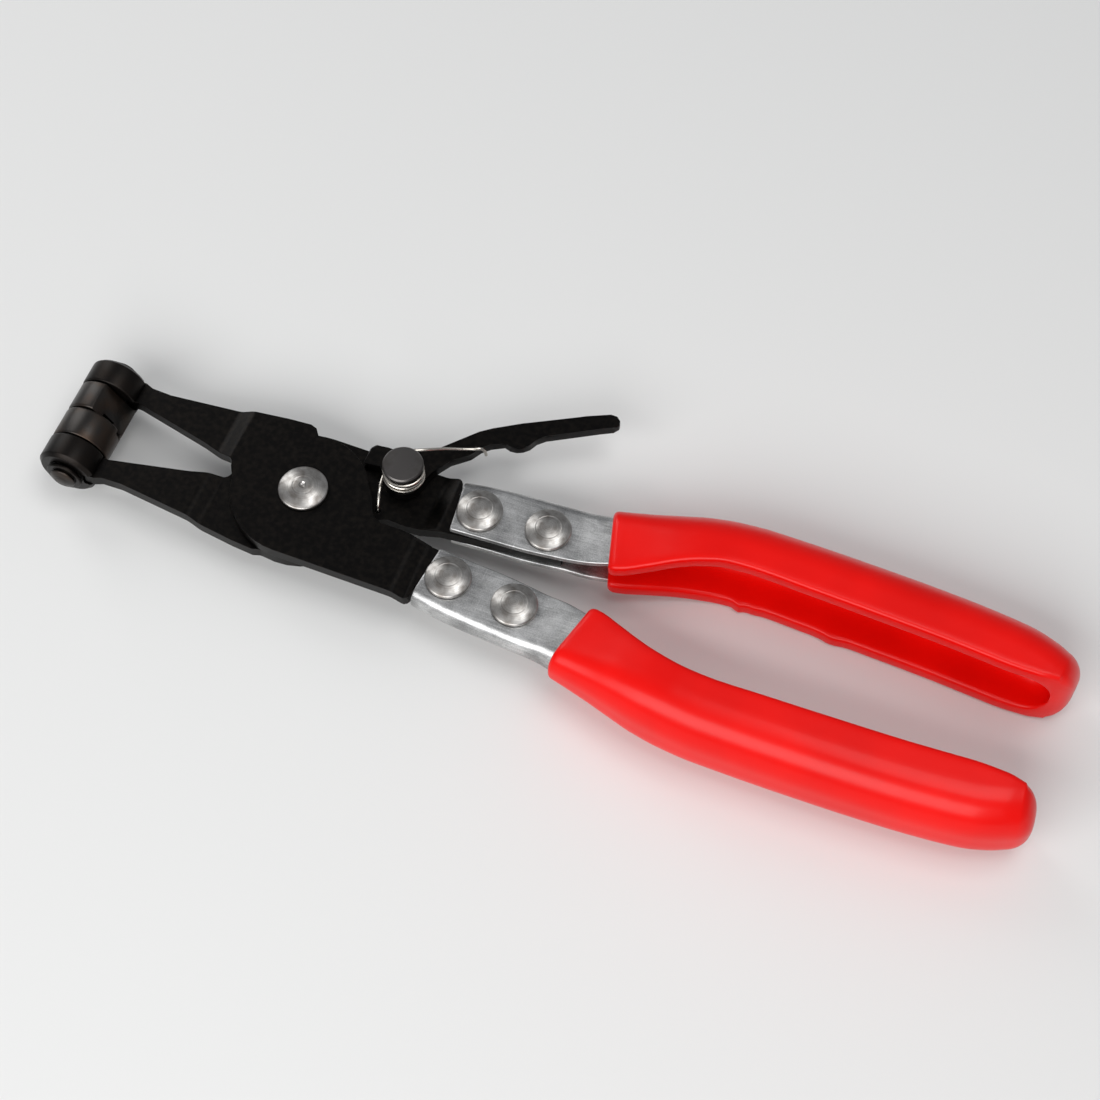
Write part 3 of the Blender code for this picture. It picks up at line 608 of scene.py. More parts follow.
def clear_choice(mesh: bpy.types.Mesh) -> None:
    """Deselects a mesh's points, edges and faces."""
    for group in (mesh.vertices, mesh.edges, mesh.polygons):
        group.foreach_set("select", [False] * len(group))


def choose_edges(piece: bpy.types.Object, wanted: Callable[[Vector, Vector], bool]) -> int:
    """Selects only the edges whose two ends answer a test.

    Args:
        piece: The piece, in object mode.
        wanted: The test, over an edge's two ends.

    Returns:
        How many edges are selected.
    """
    mesh = piece.data
    clear_choice(mesh)
    count = 0
    for edge in mesh.edges:
        first, second = (mesh.vertices[index].co for index in edge.vertices)
        if wanted(first, second):
            edge.select = True
            for index in edge.vertices:
                mesh.vertices[index].select = True
            count += 1
    return count


def choose_points(piece: bpy.types.Object, wanted: Callable[[Vector], bool]) -> int:
    """Selects only the vertices that answer a test, and says how many they are."""
    mesh = piece.data
    clear_choice(mesh)
    count = 0
    for point in mesh.vertices:
        if wanted(point.co):
            point.select = True
            count += 1
    return count


def apply_modifier(piece: bpy.types.Object, kind: str, **settings: object) -> None:
    """Adds a modifier with its settings and applies it."""
    activate(piece)
    modifier = piece.modifiers.new(kind.lower(), kind)
    for key, value in settings.items():
        setattr(modifier, key, value)
    bpy.ops.object.modifier_apply(modifier=modifier.name)


def smooth(piece: bpy.types.Object) -> None:
    """Shades a piece smooth except over its sharp edges."""
    activate(piece)
    bpy.ops.object.shade_smooth_by_angle(angle=SHARP_ANGLE)


def face_out(piece: bpy.types.Object) -> None:
    """Merges a piece's doubles and turns its faces outwards."""
    with editing(piece):
        bpy.ops.mesh.select_all(action="SELECT")
        bpy.ops.mesh.remove_doubles(threshold=MERGE_DISTANCE)
        bpy.ops.mesh.normals_make_consistent(inside=False)


def dress(piece: bpy.types.Object, *materials: bpy.types.Material) -> None:
    """Gives a piece its materials, in the order of its slots."""
    piece.data.materials.clear()
    for material in materials:
        piece.data.materials.append(material)


def hand_over(piece: bpy.types.Object, body: Body, finish: Finish, *nodes: str) -> None:
    """Sets a finished piece on its body in place of its CAD nodes.

    Args:
        piece: The piece.
        body: The CAD body that it rides on.
        finish: Not used.
        nodes: The CAD nodes that it stands for.
    """
    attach(piece, body.value)
    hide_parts(*nodes)
    LOG.info("%s rides on %s: %d faces", piece.name, body.value, len(piece.data.polygons))


def complete(piece: bpy.types.Object, body: Body, finish: Finish, node: str, paint_name: str,
             centre: Vector | None = None) -> None:
    """Gives a finished piece its one material and sets it on its body in place of its CAD node.

    Args:
        piece: The piece.
        body: The CAD body that it rides on.
        finish: Its finish.
        node: The CAD node that it stands for.
        paint_name: The material's name.
        centre: The point that turned marks are centred on.
    """
    dress(piece, finish.material(paint_name, centre))
    hand_over(piece, body, finish, node)


def filleted(corners: Sequence[Corner], closed: bool = False, steps: int = 4) -> list[Point]:
    """Rounds the corners of a profile.

    Args:
        corners: Radius, height and fillet radius of each corner.
        closed: Whether the last corner joins the first.
        steps: Steps of each fillet.

    Returns:
        The rounded profile.
    """
    points: list[Point] = []
    for index, (radius, height, fillet) in enumerate(corners):
        is_end = not closed and index in (0, len(corners) - 1)
        if fillet <= 0.0 or is_end:
            points.append((radius, height))
            continue
        here = Vector((radius, height))
        back = Vector(corners[index - 1][:2]) - here
        ahead = Vector(corners[(index + 1) % len(corners)][:2]) - here
        half = back.angle(ahead) / 2.0
        reach = min(fillet / math.tan(half), 0.48 * back.length, 0.48 * ahead.length)
        ball = reach * math.tan(half)
        centre = here + (back.normalized() + ahead.normalized()).normalized() * ball / math.sin(half)
        start = here + back.normalized() * reach - centre
        end = here + ahead.normalized() * reach - centre
        sweep = start.angle_signed(end)
        for step in range(steps + 1):
            turn = Matrix.Rotation(-sweep * step / steps, 2)
            points.append(tuple(centre + turn @ start))
    return points


def turned(name: str, profile: Sequence[Point], centre: Vector, axis: Axis = Axis.UP,
           closed: bool = False, segments: int = ROUND_SEGMENTS) -> bpy.types.Object:
    """Turns a piece on the lathe: one circle extruded and resized along a profile.

    Args:
        name: The piece's name.
        profile: Radius and height along the axis, in order; a radius of 0 makes a pole.
        centre: The axis's place.
        axis: The way the axis runs.
        closed: Whether the profile's last point joins its first, as on a ring.
        segments: Sides of the circle.

    Returns:
        The finished mesh object.
    """
    along = Vector((0.0, 0.0, 1.0)) if axis is Axis.UP else Vector((0.0, 1.0, 0.0))
    tilt = (0.0, 0.0, 0.0) if axis is Axis.UP else (math.radians(90.0), 0.0, 0.0)
    points = [(max(radius, POLE_RADIUS), height) for radius, height in profile]
    if closed:
        points.append(points[0])
    radius, height = points[0]
    bpy.ops.object.select_all(action="DESELECT")
    bpy.ops.mesh.primitive_circle_add(
        vertices=segments, radius=radius, fill_type="NOTHING", location=centre + along * height, rotation=tilt
    )
    piece = bpy.context.object
    piece.name = piece.data.name = name
    bpy.ops.object.transform_apply(location=True, rotation=True, scale=True)
    with editing(piece, "EDGE"):
        bpy.ops.mesh.select_all(action="SELECT")
        for following, level in points[1:]:
            step = along * (level - height)
            bpy.ops.mesh.extrude_region_move(TRANSFORM_OT_translate={"value": tuple(step)})
            grow = following / radius
            stretch = (grow, grow, 1.0) if axis is Axis.UP else (grow, 1.0, grow)
            bpy.ops.transform.resize(value=stretch, center_override=tuple(centre + along * level))
            radius, height = following, level
    if not closed:
        for end_radius, end_height in (profile[0], profile[-1]):
            if end_radius == 0.0:
                close_pole(piece, centre + along * end_height)
    face_out(piece)
    smooth(piece)
    return piece


def close_pole(piece: bpy.types.Object, place: Vector) -> None:
    """Merges the smallest ring of a turned piece at a pole."""
    if choose_points(piece, lambda point: (point - place).length < 1.2 * POLE_RADIUS):
        with editing(piece):
            bpy.ops.mesh.merge(type="CENTER")


def crown(radius: float, base: float, rim: float, height: float, ring: float, dimple: float = 0.0) -> list[Point]:
    """Profile of a low domed head from its rim to its pole.

    Args:
        radius: The head's radius.
        base: Height that it stands on.
        rim: Height of its upright rim.
        height: Its whole height.
        ring: Share of the radius where the forming tool left a step.
        dimple: Radius of the hollow at the crown, or 0.

    Returns:
        Radius and height of each point.
    """
    rise = height - rim
    ball = (radius * radius + rise * rise) / (2.0 * rise)
    steps = 16
    points = filleted([(radius - 0.15 * MM, base, 0.0), (radius, base, 0.12 * MM), (radius, base + rim, 0.30 * MM),
                       (0.93 * radius, base + rim + 0.16 * rise, 0.0)])
    for step in range(3, steps):
        share = 1.0 - step / steps
        at = radius * share
        if at <= dimple * 1.25:
            break
        level = base + rim + math.sqrt(ball * ball - at * at) - (ball - rise)
        if share < ring <= share + 1.0 / steps:
            points += [(radius * ring + 0.06 * MM, level - 0.02 * MM), (radius * ring - 0.06 * MM, level - 0.07 * MM)]
            continue
        points.append((at, level))
    top = base + height
    if dimple > 0.0:
        points += [(dimple * 1.10, top - 0.05 * MM), (dimple, top - 0.12 * MM), (dimple * 0.7, top - 0.34 * MM),
                   (dimple * 0.35, top - 0.42 * MM), (0.0, top - 0.45 * MM)]
    else:
        points.append((0.0, top - 0.01 * MM))
    return points


def flipped(profile: Sequence[Point]) -> list[Point]:
    """A profile upside down and in reverse order."""
    return [(radius, -height) for radius, height in reversed(profile)]


def formed_end(radius: float, seat: float, rim: float, height: float) -> list[Point]:
    """Profile of a formed end that hangs from a seat, from its pole to its rim."""
    return flipped(crown(radius, -seat, rim, height, FORMED_RING))


def cut_box(piece: bpy.types.Object, low: Sequence[float], high: Sequence[float], place: Vector,
            turn: float = 0.0) -> None:
    """Mills a box out of a piece.

    Args:
        piece: The piece.
        low: The box's lowest corner, about a place.
        high: Its highest corner.
        place: The point that the corners are measured from.
        turn: Turn of the box about Y.
    """
    low, high = Vector(low), Vector(high)
    middle = Matrix.Rotation(turn, 3, "Y") @ ((low + high) / 2.0)
    bpy.ops.object.select_all(action="DESELECT")
    bpy.ops.mesh.primitive_cube_add(size=1.0, location=place + middle, rotation=(0.0, turn, 0.0), scale=high - low)
    cutter = bpy.context.object
    apply_modifier(piece, "BOOLEAN", operation="DIFFERENCE", solver="EXACT", object=cutter)
    bpy.data.objects.remove(cutter, do_unlink=True)


def refined_copy(node: str, name: str) -> bpy.types.Object:
    """A merged copy of a CAD node's mesh, with its flat faces whole again.

    Args:
        node: The CAD node.
        name: The new piece's name.

    Returns:
        The piece, not yet bevelled.
    """
    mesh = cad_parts[node].data.copy()
    mesh.name = name
    mesh.materials.clear()
    piece = bpy.data.objects.new(name, mesh)
    bpy.context.scene.collection.objects.link(piece)
    activate(piece)
    bpy.ops.mesh.customdata_custom_splitnormals_clear()
    with editing(piece):
        bpy.ops.mesh.select_all(action="SELECT")
        bpy.ops.mesh.remove_doubles(threshold=MERGE_DISTANCE)
        bpy.ops.mesh.dissolve_limited(angle_limit=FLAT_ANGLE)
    return piece


def press_edges(piece: bpy.types.Object, width: float) -> None:
    """Rounds a plate's edges, with the rounded faces in the second material slot."""
    apply_modifier(
        piece, "BEVEL", width=width, segments=3, limit_method="ANGLE", angle_limit=PRESSED_ANGLE, material=1,
        miter_outer="MITER_ARC",
    )
    smooth(piece)
    apply_modifier(piece, "WEIGHTED_NORMAL", keep_sharp=True, weight=60)


# Sub-assemblies


@dataclass
class MainPivot:
    """The main rivet and the washer under it."""

    head_radius: float = 5.45 * MM
    head_base: float = 3.25 * MM
    head_height: float = 2.0 * MM
    shank: float = 3.4 * MM
    formed_radius: float = 4.6 * MM
    formed_height: float = 1.3 * MM
    washer_radius: float = 6.0 * MM
    washer_top: float = -3.25 * MM
    washer_thickness: float = 1.0 * MM

    def build(self) -> None:
        """Builds both pieces."""
        seat = self.washer_top - self.washer_thickness - CLEARANCE
        profile = formed_end(self.formed_radius, seat, 0.4 * MM, self.formed_height)
        profile += [(self.shank, seat), (self.shank, self.head_base)]
        profile += crown(self.head_radius, self.head_base, 0.6 * MM, self.head_height, 0.42, 0.75 * MM)
        rivet = turned("main_rivet", profile, PIVOT)
        complete(rivet, Body.LOWER_HALF, RIVET, "main_pivot_rivet", "main_rivet_steel", PIVOT)
        ring = flat_ring(self.shank + CLEARANCE, self.washer_radius, self.washer_top, self.washer_thickness)
        washer = turned("main_washer", ring, PIVOT, closed=True)
        complete(washer, Body.LOWER_HALF, PIN, "pivot_washer", "main_washer_steel", PIVOT)


def flat_ring(bore: float, radius: float, top: float, thickness: float, fillet: float = 0.15 * MM) -> list[Point]:
    """Closed profile of a flat ring with rounded edges."""
    low = top - thickness
    return filleted([(bore, low, fillet), (radius, low, fillet), (radius, top, fillet), (bore, top, fillet)], True, 3)


@dataclass
class JawPlate:
    """One pressed jaw plate with its joggles and rubbed edges."""

    node: str
    name: str
    body: Body
    edge_width: float = 0.36 * MM
    bend_width: float = 0.75 * MM
    bends: tuple[float, ...] = (-21.6 * MM, -18.6 * MM, 27.4 * MM, 30.4 * MM)

    def build(self) -> None:
        """Builds the plate from its CAD node."""
        plate = refined_copy(self.node, self.name)
        lines = [PIVOT.x + bend for bend in self.bends]

        def on_bend(first: Vector, second: Vector) -> bool:
            """Whether an edge lies along a bend on a flat side."""
            level = abs(first.z - second.z) < ON_LINE
            return level and any(abs(first.x - bend) + abs(second.x - bend) < 2.0 * ON_LINE for bend in lines)

        if choose_edges(plate, on_bend):
            with editing(plate, "EDGE"):
                bpy.ops.mesh.bevel(offset=self.bend_width, segments=3, affect="EDGES")
        press_edges(plate, self.edge_width)
        dress(plate, BLACK_PLATE.material(self.name + "_black"), BLACK_EDGE.material(self.name + "_edge"))
        hand_over(plate, self.body, BLACK_PLATE, self.node)


@dataclass
class JawTip:
    """A fixed eye, the swivel tip that turns on it, its spindle and its collar."""

    side: Side
    half: Body
    turning: Body
    word: str
    notch_turn: float
    groove_turn: float
    reach: float = 51.3 * MM
    tip_radius: float = 6.6 * MM
    tip_length: float = 7.0 * MM
    edge_width: float = 0.18 * MM
    groove_width: float = 3.4 * MM
    groove_depth: float = 1.2 * MM
    step_reach: float = 4.2 * MM
    boss_radius: float = 6.7 * MM
    boss_length: float = 6.2 * MM
    boss_chamfer: float = 0.8 * MM
    slot_reach: float = 4.2 * MM
    spindle: float = 2.3 * MM
    spindle_sink: float = 4.4 * MM
    head_radius: float = 2.9 * MM
    head_height: float = 1.1 * MM
    collar_radius: float = 4.1 * MM
    collar_thickness: float = 0.8 * MM

    @property
    def place(self) -> Vector:
        """The tip's axis."""
        return PIVOT + Vector((-self.reach, 0.0, 0.0))

    @property
    def boss_start(self) -> float:
        """Where the eye starts, from the middle."""
        return self.tip_length + 1.5 * CLEARANCE

    def sided(self, profile: Sequence[Point]) -> list[Point]:
        """A profile with its heights on this tip's side."""
        return [(radius, self.side.value * height) for radius, height in profile]

    def build(self) -> None:
        """Builds the four pieces."""
        self.build_boss()
        self.build_tip()
        self.build_spindle()
        self.build_collar()

    def span(self, start: float, end: float) -> tuple[float, float]:
        """A stretch along Y on this tip's side, lowest first."""
        return tuple(sorted((self.side.value * start, self.side.value * end)))

    def finish_piece(self, piece: bpy.types.Object, finish: Finish, body: Body, node: str) -> None:
        """Dresses a piece of the tip and sets it on its body."""
        complete(piece, body, finish, node, piece.name + "_steel", self.place)

    def build_boss(self) -> None:
        """The eye, slotted over the arm's tongue."""
        bore = self.spindle + CLEARANCE
        start, end = self.boss_start, self.boss_start + self.boss_length
        corners = [
            (bore, start, 0.15 * MM), (self.boss_radius, start, 0.45 * MM),
            (self.boss_radius, end - self.boss_chamfer, 0.35 * MM),
            (self.boss_radius - self.boss_chamfer, end, 0.35 * MM), (bore, end, 0.2 * MM),
        ]
        boss = turned(self.word + "_eye", self.sided(filleted(corners, True)), self.place, Axis.ACROSS, True)
        half = PLATE_THICKNESS / 2.0 + CLEARANCE
        low_y, high_y = self.span(start - MM, end + MM)
        cut_box(boss, (self.slot_reach, low_y, -half), (self.boss_radius + MM, high_y, half), self.place)
        smooth(boss)
        self.finish_piece(boss, BOSS, self.half, self.word + "_tip_boss")

    def build_tip(self) -> None:
        """The swivel tip with the step down its side and the groove over its face."""
        start = CLEARANCE / 2.0
        end = start + self.tip_length
        bore = self.spindle + 0.05 * MM
        sink = end - self.spindle_sink - CLEARANCE
        corners = [
            (0.0, start, 0.0), (self.tip_radius, start, 0.55 * MM), (self.tip_radius, end, 0.40 * MM),
            (bore, end, 0.10 * MM), (bore, sink, 0.0), (0.0, sink, 0.0),
        ]
        tip = turned(self.word + "_tip_drum", self.sided(filleted(corners)), self.place, Axis.ACROSS)
        far = self.tip_radius + 2.0 * MM
        low_y, high_y = self.span(start - MM, end + MM)
        cut_box(tip, (self.step_reach, low_y, -far), (far, high_y, far), self.place, self.notch_turn)
        low_y, high_y = self.span(start - MM, start + self.groove_depth)
        width = self.groove_width / 2.0
        cut_box(tip, (-far, low_y, -width), (far, high_y, width), self.place, self.groove_turn)
        apply_modifier(
            tip, "BEVEL", width=self.edge_width, segments=2, limit_method="ANGLE", angle_limit=MILLED_ANGLE
        )
        smooth(tip)
        self.finish_piece(tip, TIP, self.turning, self.word + "_swivel_tip")

    def build_spindle(self) -> None:
        """The spindle with its domed end."""
        sunk = CLEARANCE / 2.0 + self.tip_length - self.spindle_sink
        base = self.boss_start + self.boss_length + 2.0 * CLEARANCE + self.collar_thickness
        chamfer = 0.2 * MM
        profile = [(0.0, sunk), (self.spindle - chamfer, sunk), (self.spindle, sunk + chamfer), (self.spindle, base)]
        profile += crown(self.head_radius, base, 0.3 * MM, self.head_height, 0.5)
        name = self.word + "_spindle"
        spindle = turned(name, self.sided(profile), self.place, Axis.ACROSS, segments=SMALL_SEGMENTS)
        self.finish_piece(spindle, TIP, self.turning, self.word + "_tip_spindle")

    def build_collar(self) -> None:
        """The ring under the spindle's head."""
        start = self.boss_start + self.boss_length + CLEARANCE
        end = start + self.collar_thickness
        ring = flat_ring(self.spindle + CLEARANCE, self.collar_radius, end, self.collar_thickness, 0.22 * MM)
        name = self.word + "_collar"
        collar = turned(name, self.sided(ring), self.place, Axis.ACROSS, True, SMALL_SEGMENTS)
        self.finish_piece(collar, BOSS, self.turning, self.word + "_tip_collar")


class Track:
    """A value that runs smoothly through its knots without passing beyond them."""

    def __init__(self, knots: Sequence[float], values: Sequence[float]) -> None:
        """Works out the slope at each knot.

        Args:
            knots: The places, rising.
            values: The value at each.
        """
        self.knots = list(knots)
        self.values = list(values)
        steps = [
            (after - before) / (high - low)
            for low, high, before, after in zip(knots, knots[1:], values, values[1:])
        ]
        inner = [
            0.0 if before * after <= 0.0 else 2.0 * before * after / (before + after)
            for before, after in zip(steps, steps[1:])
        ]
        self.slopes = [steps[0]] + inner + [steps[-1]]

    def at(self, place: float) -> float:
        """The value at a place, held at the two ends."""
        place = min(max(place, self.knots[0]), self.knots[-1])
        index = 0
        while index < len(self.knots) - 2 and place > self.knots[index + 1]:
            index += 1
        span = self.knots[index + 1] - self.knots[index]
        share = (place - self.knots[index]) / span
        rise = self.values[index + 1] - self.values[index]
        start, end = self.slopes[index] * span, self.slopes[index + 1] * span
        cubic = start + end - 2.0 * rise
        return self.values[index] + share * (start + share * (3.0 * rise - 2.0 * start - end + share * cubic))


@dataclass(frozen=True)
class Section:
    """One section of a handle's wall, about the pivot.

    Attributes:
        x: Place along the handle.
        open_edge: Distance of the open edge from the middle line.
        web: Distance of the web's outside.
        half: Half its height.
        corner: Outer corner radius.
        lean: How far it leans to stand square to the handle.
        outside: Growth of the outside.
        inside: Growth of the inside.
        lip: Growth of the lips.
        lip_round: Radius of the lips.
        depth: Share of the hollow's depth that is left.
        pinch: Share of the hollow's height that is left.
        droop: How far the lower lip hangs further out.
    """

    x: float
    open_edge: float
    web: float
    half: float
    corner: float
    lean: float
    outside: float = 0.0
    inside: float = 0.0
    lip: float = 0.0
    lip_round: float = 0.30 * MM
    depth: float = 1.0
    pinch: float = 1.0
    droop: float = 0.0

    def loop(self) -> list[Point]:
        """The wall's closed outline, from the upper lip over the outside and back over the inside."""
        lip = self.open_edge - self.lip
        web, hollow = self.web + self.outside, self.web - SHEET_THICKNESS - self.inside
        top = self.half + self.outside
        roof = self.pinch * (self.half - SHEET_THICKNESS - self.inside)
        corner = self.corner + self.outside
        inner = min(max(self.corner - SHEET_THICKNESS - self.inside, 0.4 * MM), 0.9 * roof)
        small = min(self.lip_round, 0.49 * (top - roof))
        corner = min(corner, web - lip - small, top)
        inner = min(inner, hollow - lip - small)

        def hollowed(points: Sequence[Point]) -> list[Point]:
            """Points of the hollow, drawn back to the lip where it is filled."""
            return [(lip + self.depth * (y - lip), z) for y, z in points]

        outer = bent_run(lip + small, web, top, corner, 10)
        hollow_run = hollowed(bent_run(lip + small, hollow, -roof, inner, 7))
        lower = sweep((lip + small, small - top), small, -90.0, -180.0, 4)
        lower += line((lip, small - top), (lip, -roof - small), 2)
        lower += hollowed(sweep((lip + small, -roof - small), small, 180.0, 90.0, 4))
        upper = hollowed(sweep((lip + small, roof + small), small, 270.0, 180.0, 4))
        upper += line((lip, roof + small), (lip, top - small), 2)
        upper += sweep((lip + small, top - small), small, 180.0, 90.0, 4)
        return outer + [(y - self.droop, z) for y, z in lower] + hollow_run + upper

    def points(self, side: Side) -> list[Vector]:
        """The outline's points in the CAD frame, leaned, on one side."""
        middle = (self.open_edge + self.web) / 2.0
        return [
            PIVOT + Vector((self.x - self.lean * (y - middle), side.value * y, z)) for y, z in self.loop()
        ]


def line(start: Point, end: Point, steps: int) -> list[Point]:
    """Points along a line, without its end."""
    return [
        (start[0] + (end[0] - start[0]) * step / steps, start[1] + (end[1] - start[1]) * step / steps)
        for step in range(steps)
    ]


def sweep(centre: Point, radius: float, start: float, end: float, steps: int) -> list[Point]:
    """Points along an arc between two angles in degrees, without its end."""
    angles = [math.radians(start + (end - start) * step / steps) for step in range(steps)]
    return [(centre[0] + radius * math.cos(angle), centre[1] + radius * math.sin(angle)) for angle in angles]


def bent_run(start: float, wall: float, height: float, radius: float, steps: int) -> list[Point]:
    """Points along one flange, round the web and back along the other flange, without the last.

    Args:
        start: Where the flanges start.
        wall: Distance of the web.
        height: Height of the first flange; the second lies at its opposite.
        radius: Radius of the two bends.
        steps: Steps of each bend.

    Returns:
        The points.
    """
    sign = math.copysign(1.0, height)
    level, turn = height - sign * radius, wall - radius
    points = line((start, height), (turn, height), 5)
    points += sweep((turn, level), radius, 90.0 * sign, 0.0, steps)
    points += line((wall, level), (wall, -level), 4)
    points += sweep((turn, -level), radius, 0.0, -90.0 * sign, steps)
    return points + line((turn, -height), (start, -height), 5)


def pressed_wall(name: str, sections: Sequence[Section], side: Side) -> bpy.types.Object:
    """Presses a flat grid into a closed wall that follows sections, and closes its two ends.

    Args:
        name: The piece's name.
        sections: The sections, in order.
        side: The side of the pliers.

    Returns:
        The finished mesh object.
    """
    rows = [section.points(side) for section in sections]
    around, along = len(rows[0]), len(rows) - 1
    bpy.ops.object.select_all(action="DESELECT")
    bpy.ops.mesh.primitive_grid_add(x_subdivisions=around, y_subdivisions=along, size=2.0)
    piece = bpy.context.object
    piece.name = piece.data.name = name
    for point in piece.data.vertices:
        column = round((point.co.x + 1.0) / 2.0 * around) % around
        row = round((point.co.y + 1.0) / 2.0 * along)
        point.co = rows[row][column]
    face_out(piece)
    for row in (rows[0], rows[-1]):
        close_end(piece, row)
    face_out(piece)
    smooth(piece)
    return piece


def close_end(piece: bpy.types.Object, ring: Sequence[Vector]) -> None:
    """Fills the open end of a wall, whose ring of points is given."""
    low = min(point.x for point in ring) - MERGE_DISTANCE
    high = max(point.x for point in ring) + MERGE_DISTANCE

    def on_ring(point: Vector) -> bool:
        """Whether a vertex is one of the ring's."""
        if not low <= point.x <= high:
            return False
        return any((point - other).length < MERGE_DISTANCE for other in ring)

    if choose_points(piece, on_ring):
        with editing(piece):
            bpy.ops.mesh.edge_face_add()


@dataclass
class Handle:
    """A pressed zinc plated handle with its dipped grip and its two rivets."""

    side: Side
    body: Body
    word: str
    front: float = 32.5 * MM
    length: float = 132.7 * MM
    spread: float = 25.8 * MM
    plate_half: float = 3.1 * MM
    grip_half: float = 8.98 * MM
    plate_corner: float = 2.6 * MM
    grip_corner: float = 7.0 * MM
    dip: float = 1.2 * MM
    dip_start: float = 34.1 * MM
    dip_end: float = 3.55 * MM
    coat_start: float = 0.04 * MM
    coat_inset: float = 0.02 * MM
    feather: float = 1.3 * MM
    lip_start: float = 0.2 * MM
    lip_growth: float = 0.7
    lip_round: float = 1.0 * MM
    trough_end: Point = (8.0 * MM, 0.3 * MM)
    end_flat: float = 0.20
    end_taper: float = 0.37
    end_lip_round: float = 1.8 * MM
    end_round: float = 0.32 * MM
    channel_rows: int = 96
    grip_rows: int = 92
    rivets: tuple[Point, ...] = ((37.8 * MM, 8.8 * MM), (53.3 * MM, 9.8 * MM))
    rivet_radius: float = 5.05 * MM
    rivet_base: float = 3.4 * MM
    rivet_height: float = 1.8 * MM
    rivet_shank: float = 2.5 * MM
    # Runs of the coat on the lower lip: place along the handle, width and hang
    drips: tuple[Corner, ...] = ()
    # Fuller coat over the lips: place along the handle, width and fullness
    lip_swell: Corner = (75.0 * MM, 11.0 * MM, 1.1 * MM)
    # Along the metal: share of its length, open edge, web and flare
    shares: tuple[tuple[float, ...], ...] = (
        (0.000, 0.100, 0.605, 0.00), (0.060, 0.119, 0.655, 0.00), (0.120, 0.136, 0.682, 0.00),
        (0.189, 0.178, 0.702, 0.00), (0.226, 0.203, 0.713, 0.10), (0.271, 0.278, 0.755, 0.26),
        (0.316, 0.390, 0.806, 0.48), (0.360, 0.475, 0.868, 0.72), (0.405, 0.527, 0.933, 0.90),
        (0.450, 0.560, 0.975, 1.00), (0.503, 0.570, 0.998, 1.00), (0.586, 0.558, 1.000, 1.00),
        (0.698, 0.542, 0.992, 1.00), (0.806, 0.523, 0.973, 1.00), (0.876, 0.502, 0.948, 1.00),
        (0.930, 0.487, 0.915, 1.00), (0.972, 0.492, 0.855, 0.98), (1.000, 0.515, 0.795, 0.90),
    )

    def __post_init__(self) -> None:
        """Prepares the handle's smooth run."""
        knots = [row[0] for row in self.shares]
        self.open_track = Track(knots, [row[1] for row in self.shares])
        self.web_track = Track(knots, [row[2] for row in self.shares])
        self.flare_track = Track(knots, [row[3] for row in self.shares])

    def section(self, x: float, **growth: float) -> Section:
        """The metal's section at a place, with any growth laid on it.

        Args:
            x: Place along the handle, about the pivot.
            growth: Values for the section's later fields.

        Returns:
            The section.
        """
        share = (x - self.front) / self.length
        flare = self.flare_track.at(share)

        def middle(at: float) -> float:
            """Distance of the wall's middle line."""
            at = min(max(at, 0.0), 1.0)
            return self.spread * (self.open_track.at(at) + self.web_track.at(at)) / 2.0

        low, high = max(share - 0.03, 0.0), min(share + 0.03, 1.0)
        lean = (middle(high) - middle(low)) / (self.length * (high - low)) if high > low else self.end_lean
        return Section(
            x, self.spread * self.open_track.at(share), self.spread * self.web_track.at(share),
            self.plate_half + (self.grip_half - self.plate_half) * flare,
            self.plate_corner + (self.grip_corner - self.plate_corner) * flare, lean, **growth,
        )

    @property
    def end_lean(self) -> float:
        """Lean of the metal's last section."""
        return self.section(self.front + 0.999 * self.length).lean

    def build(self) -> None:
        """Builds the channel, the grip and the rivets."""
        self.build_channel()
        self.build_grip()
        for number, place in enumerate(self.rivets):
            self.build_rivet(number + 1, place)

    def build_channel(self) -> None:
        """The pressed metal, with its cut edges rounded."""
        sections = []
        for step in range(5):
            angle = math.radians(22.5 * step)
            inset = -self.end_round * (1.0 - math.sin(angle))
            x = self.front + self.end_round * (1.0 - math.cos(angle))
            sections.append(self.section(x, outside=inset, inside=inset, lip=inset))
        count = self.channel_rows
        first, last = self.front + MM, self.front + self.length
        sections += [self.section(first + (last - first) * step / count) for step in range(count + 1)]
        name = self.word + "_channel"
        channel = pressed_wall(name, sections, self.side)
        complete(channel, self.body, ZINC, self.word + "_handle_channel", name + "_zinc")

    def hang(self, x: float) -> float:
        """How far the coat hangs from the lower lip at a place."""
        return sum(reach * math.exp(-(((x - place) / width) ** 2)) for place, width, reach in self.drips)

    def swell(self, x: float) -> float:
        """How much fuller the coat is over the lips, where the handle bends inwards."""
        centre, width, fullness = self.lip_swell
        return fullness * math.exp(-(((x - centre) / width) ** 2))

    def build_grip(self) -> None:
        """The dipped coat over and inside the metal, closed at its end."""
        start, metal_end = self.front + self.dip_start, self.front + self.length
        fill_start, fill_end = (metal_end - before for before in self.trough_end)
        places = [start + self.feather * (1.0 - math.cos(math.radians(15.0 * step))) for step in range(7)]
        count = self.grip_rows
        places += [places[-1] + (fill_start - places[-1]) * (step + 1) / count for step in range(count)]
        filled = fill_end - fill_start
        places += [fill_start + filled * math.sin(math.radians(7.5 * (step + 1))) for step in range(12)]
        places.append(metal_end)
        sections = []
        for x in places:
            rise = min((x - start) / self.feather, 1.0)
            grown = self.dip - self.coat_start - self.coat_inset
            coat = self.coat_start + grown * math.sqrt(max(1.0 - (1.0 - rise) ** 2, 0.0))
            into = min(max((x - fill_start) / filled, 0.0), 1.0)
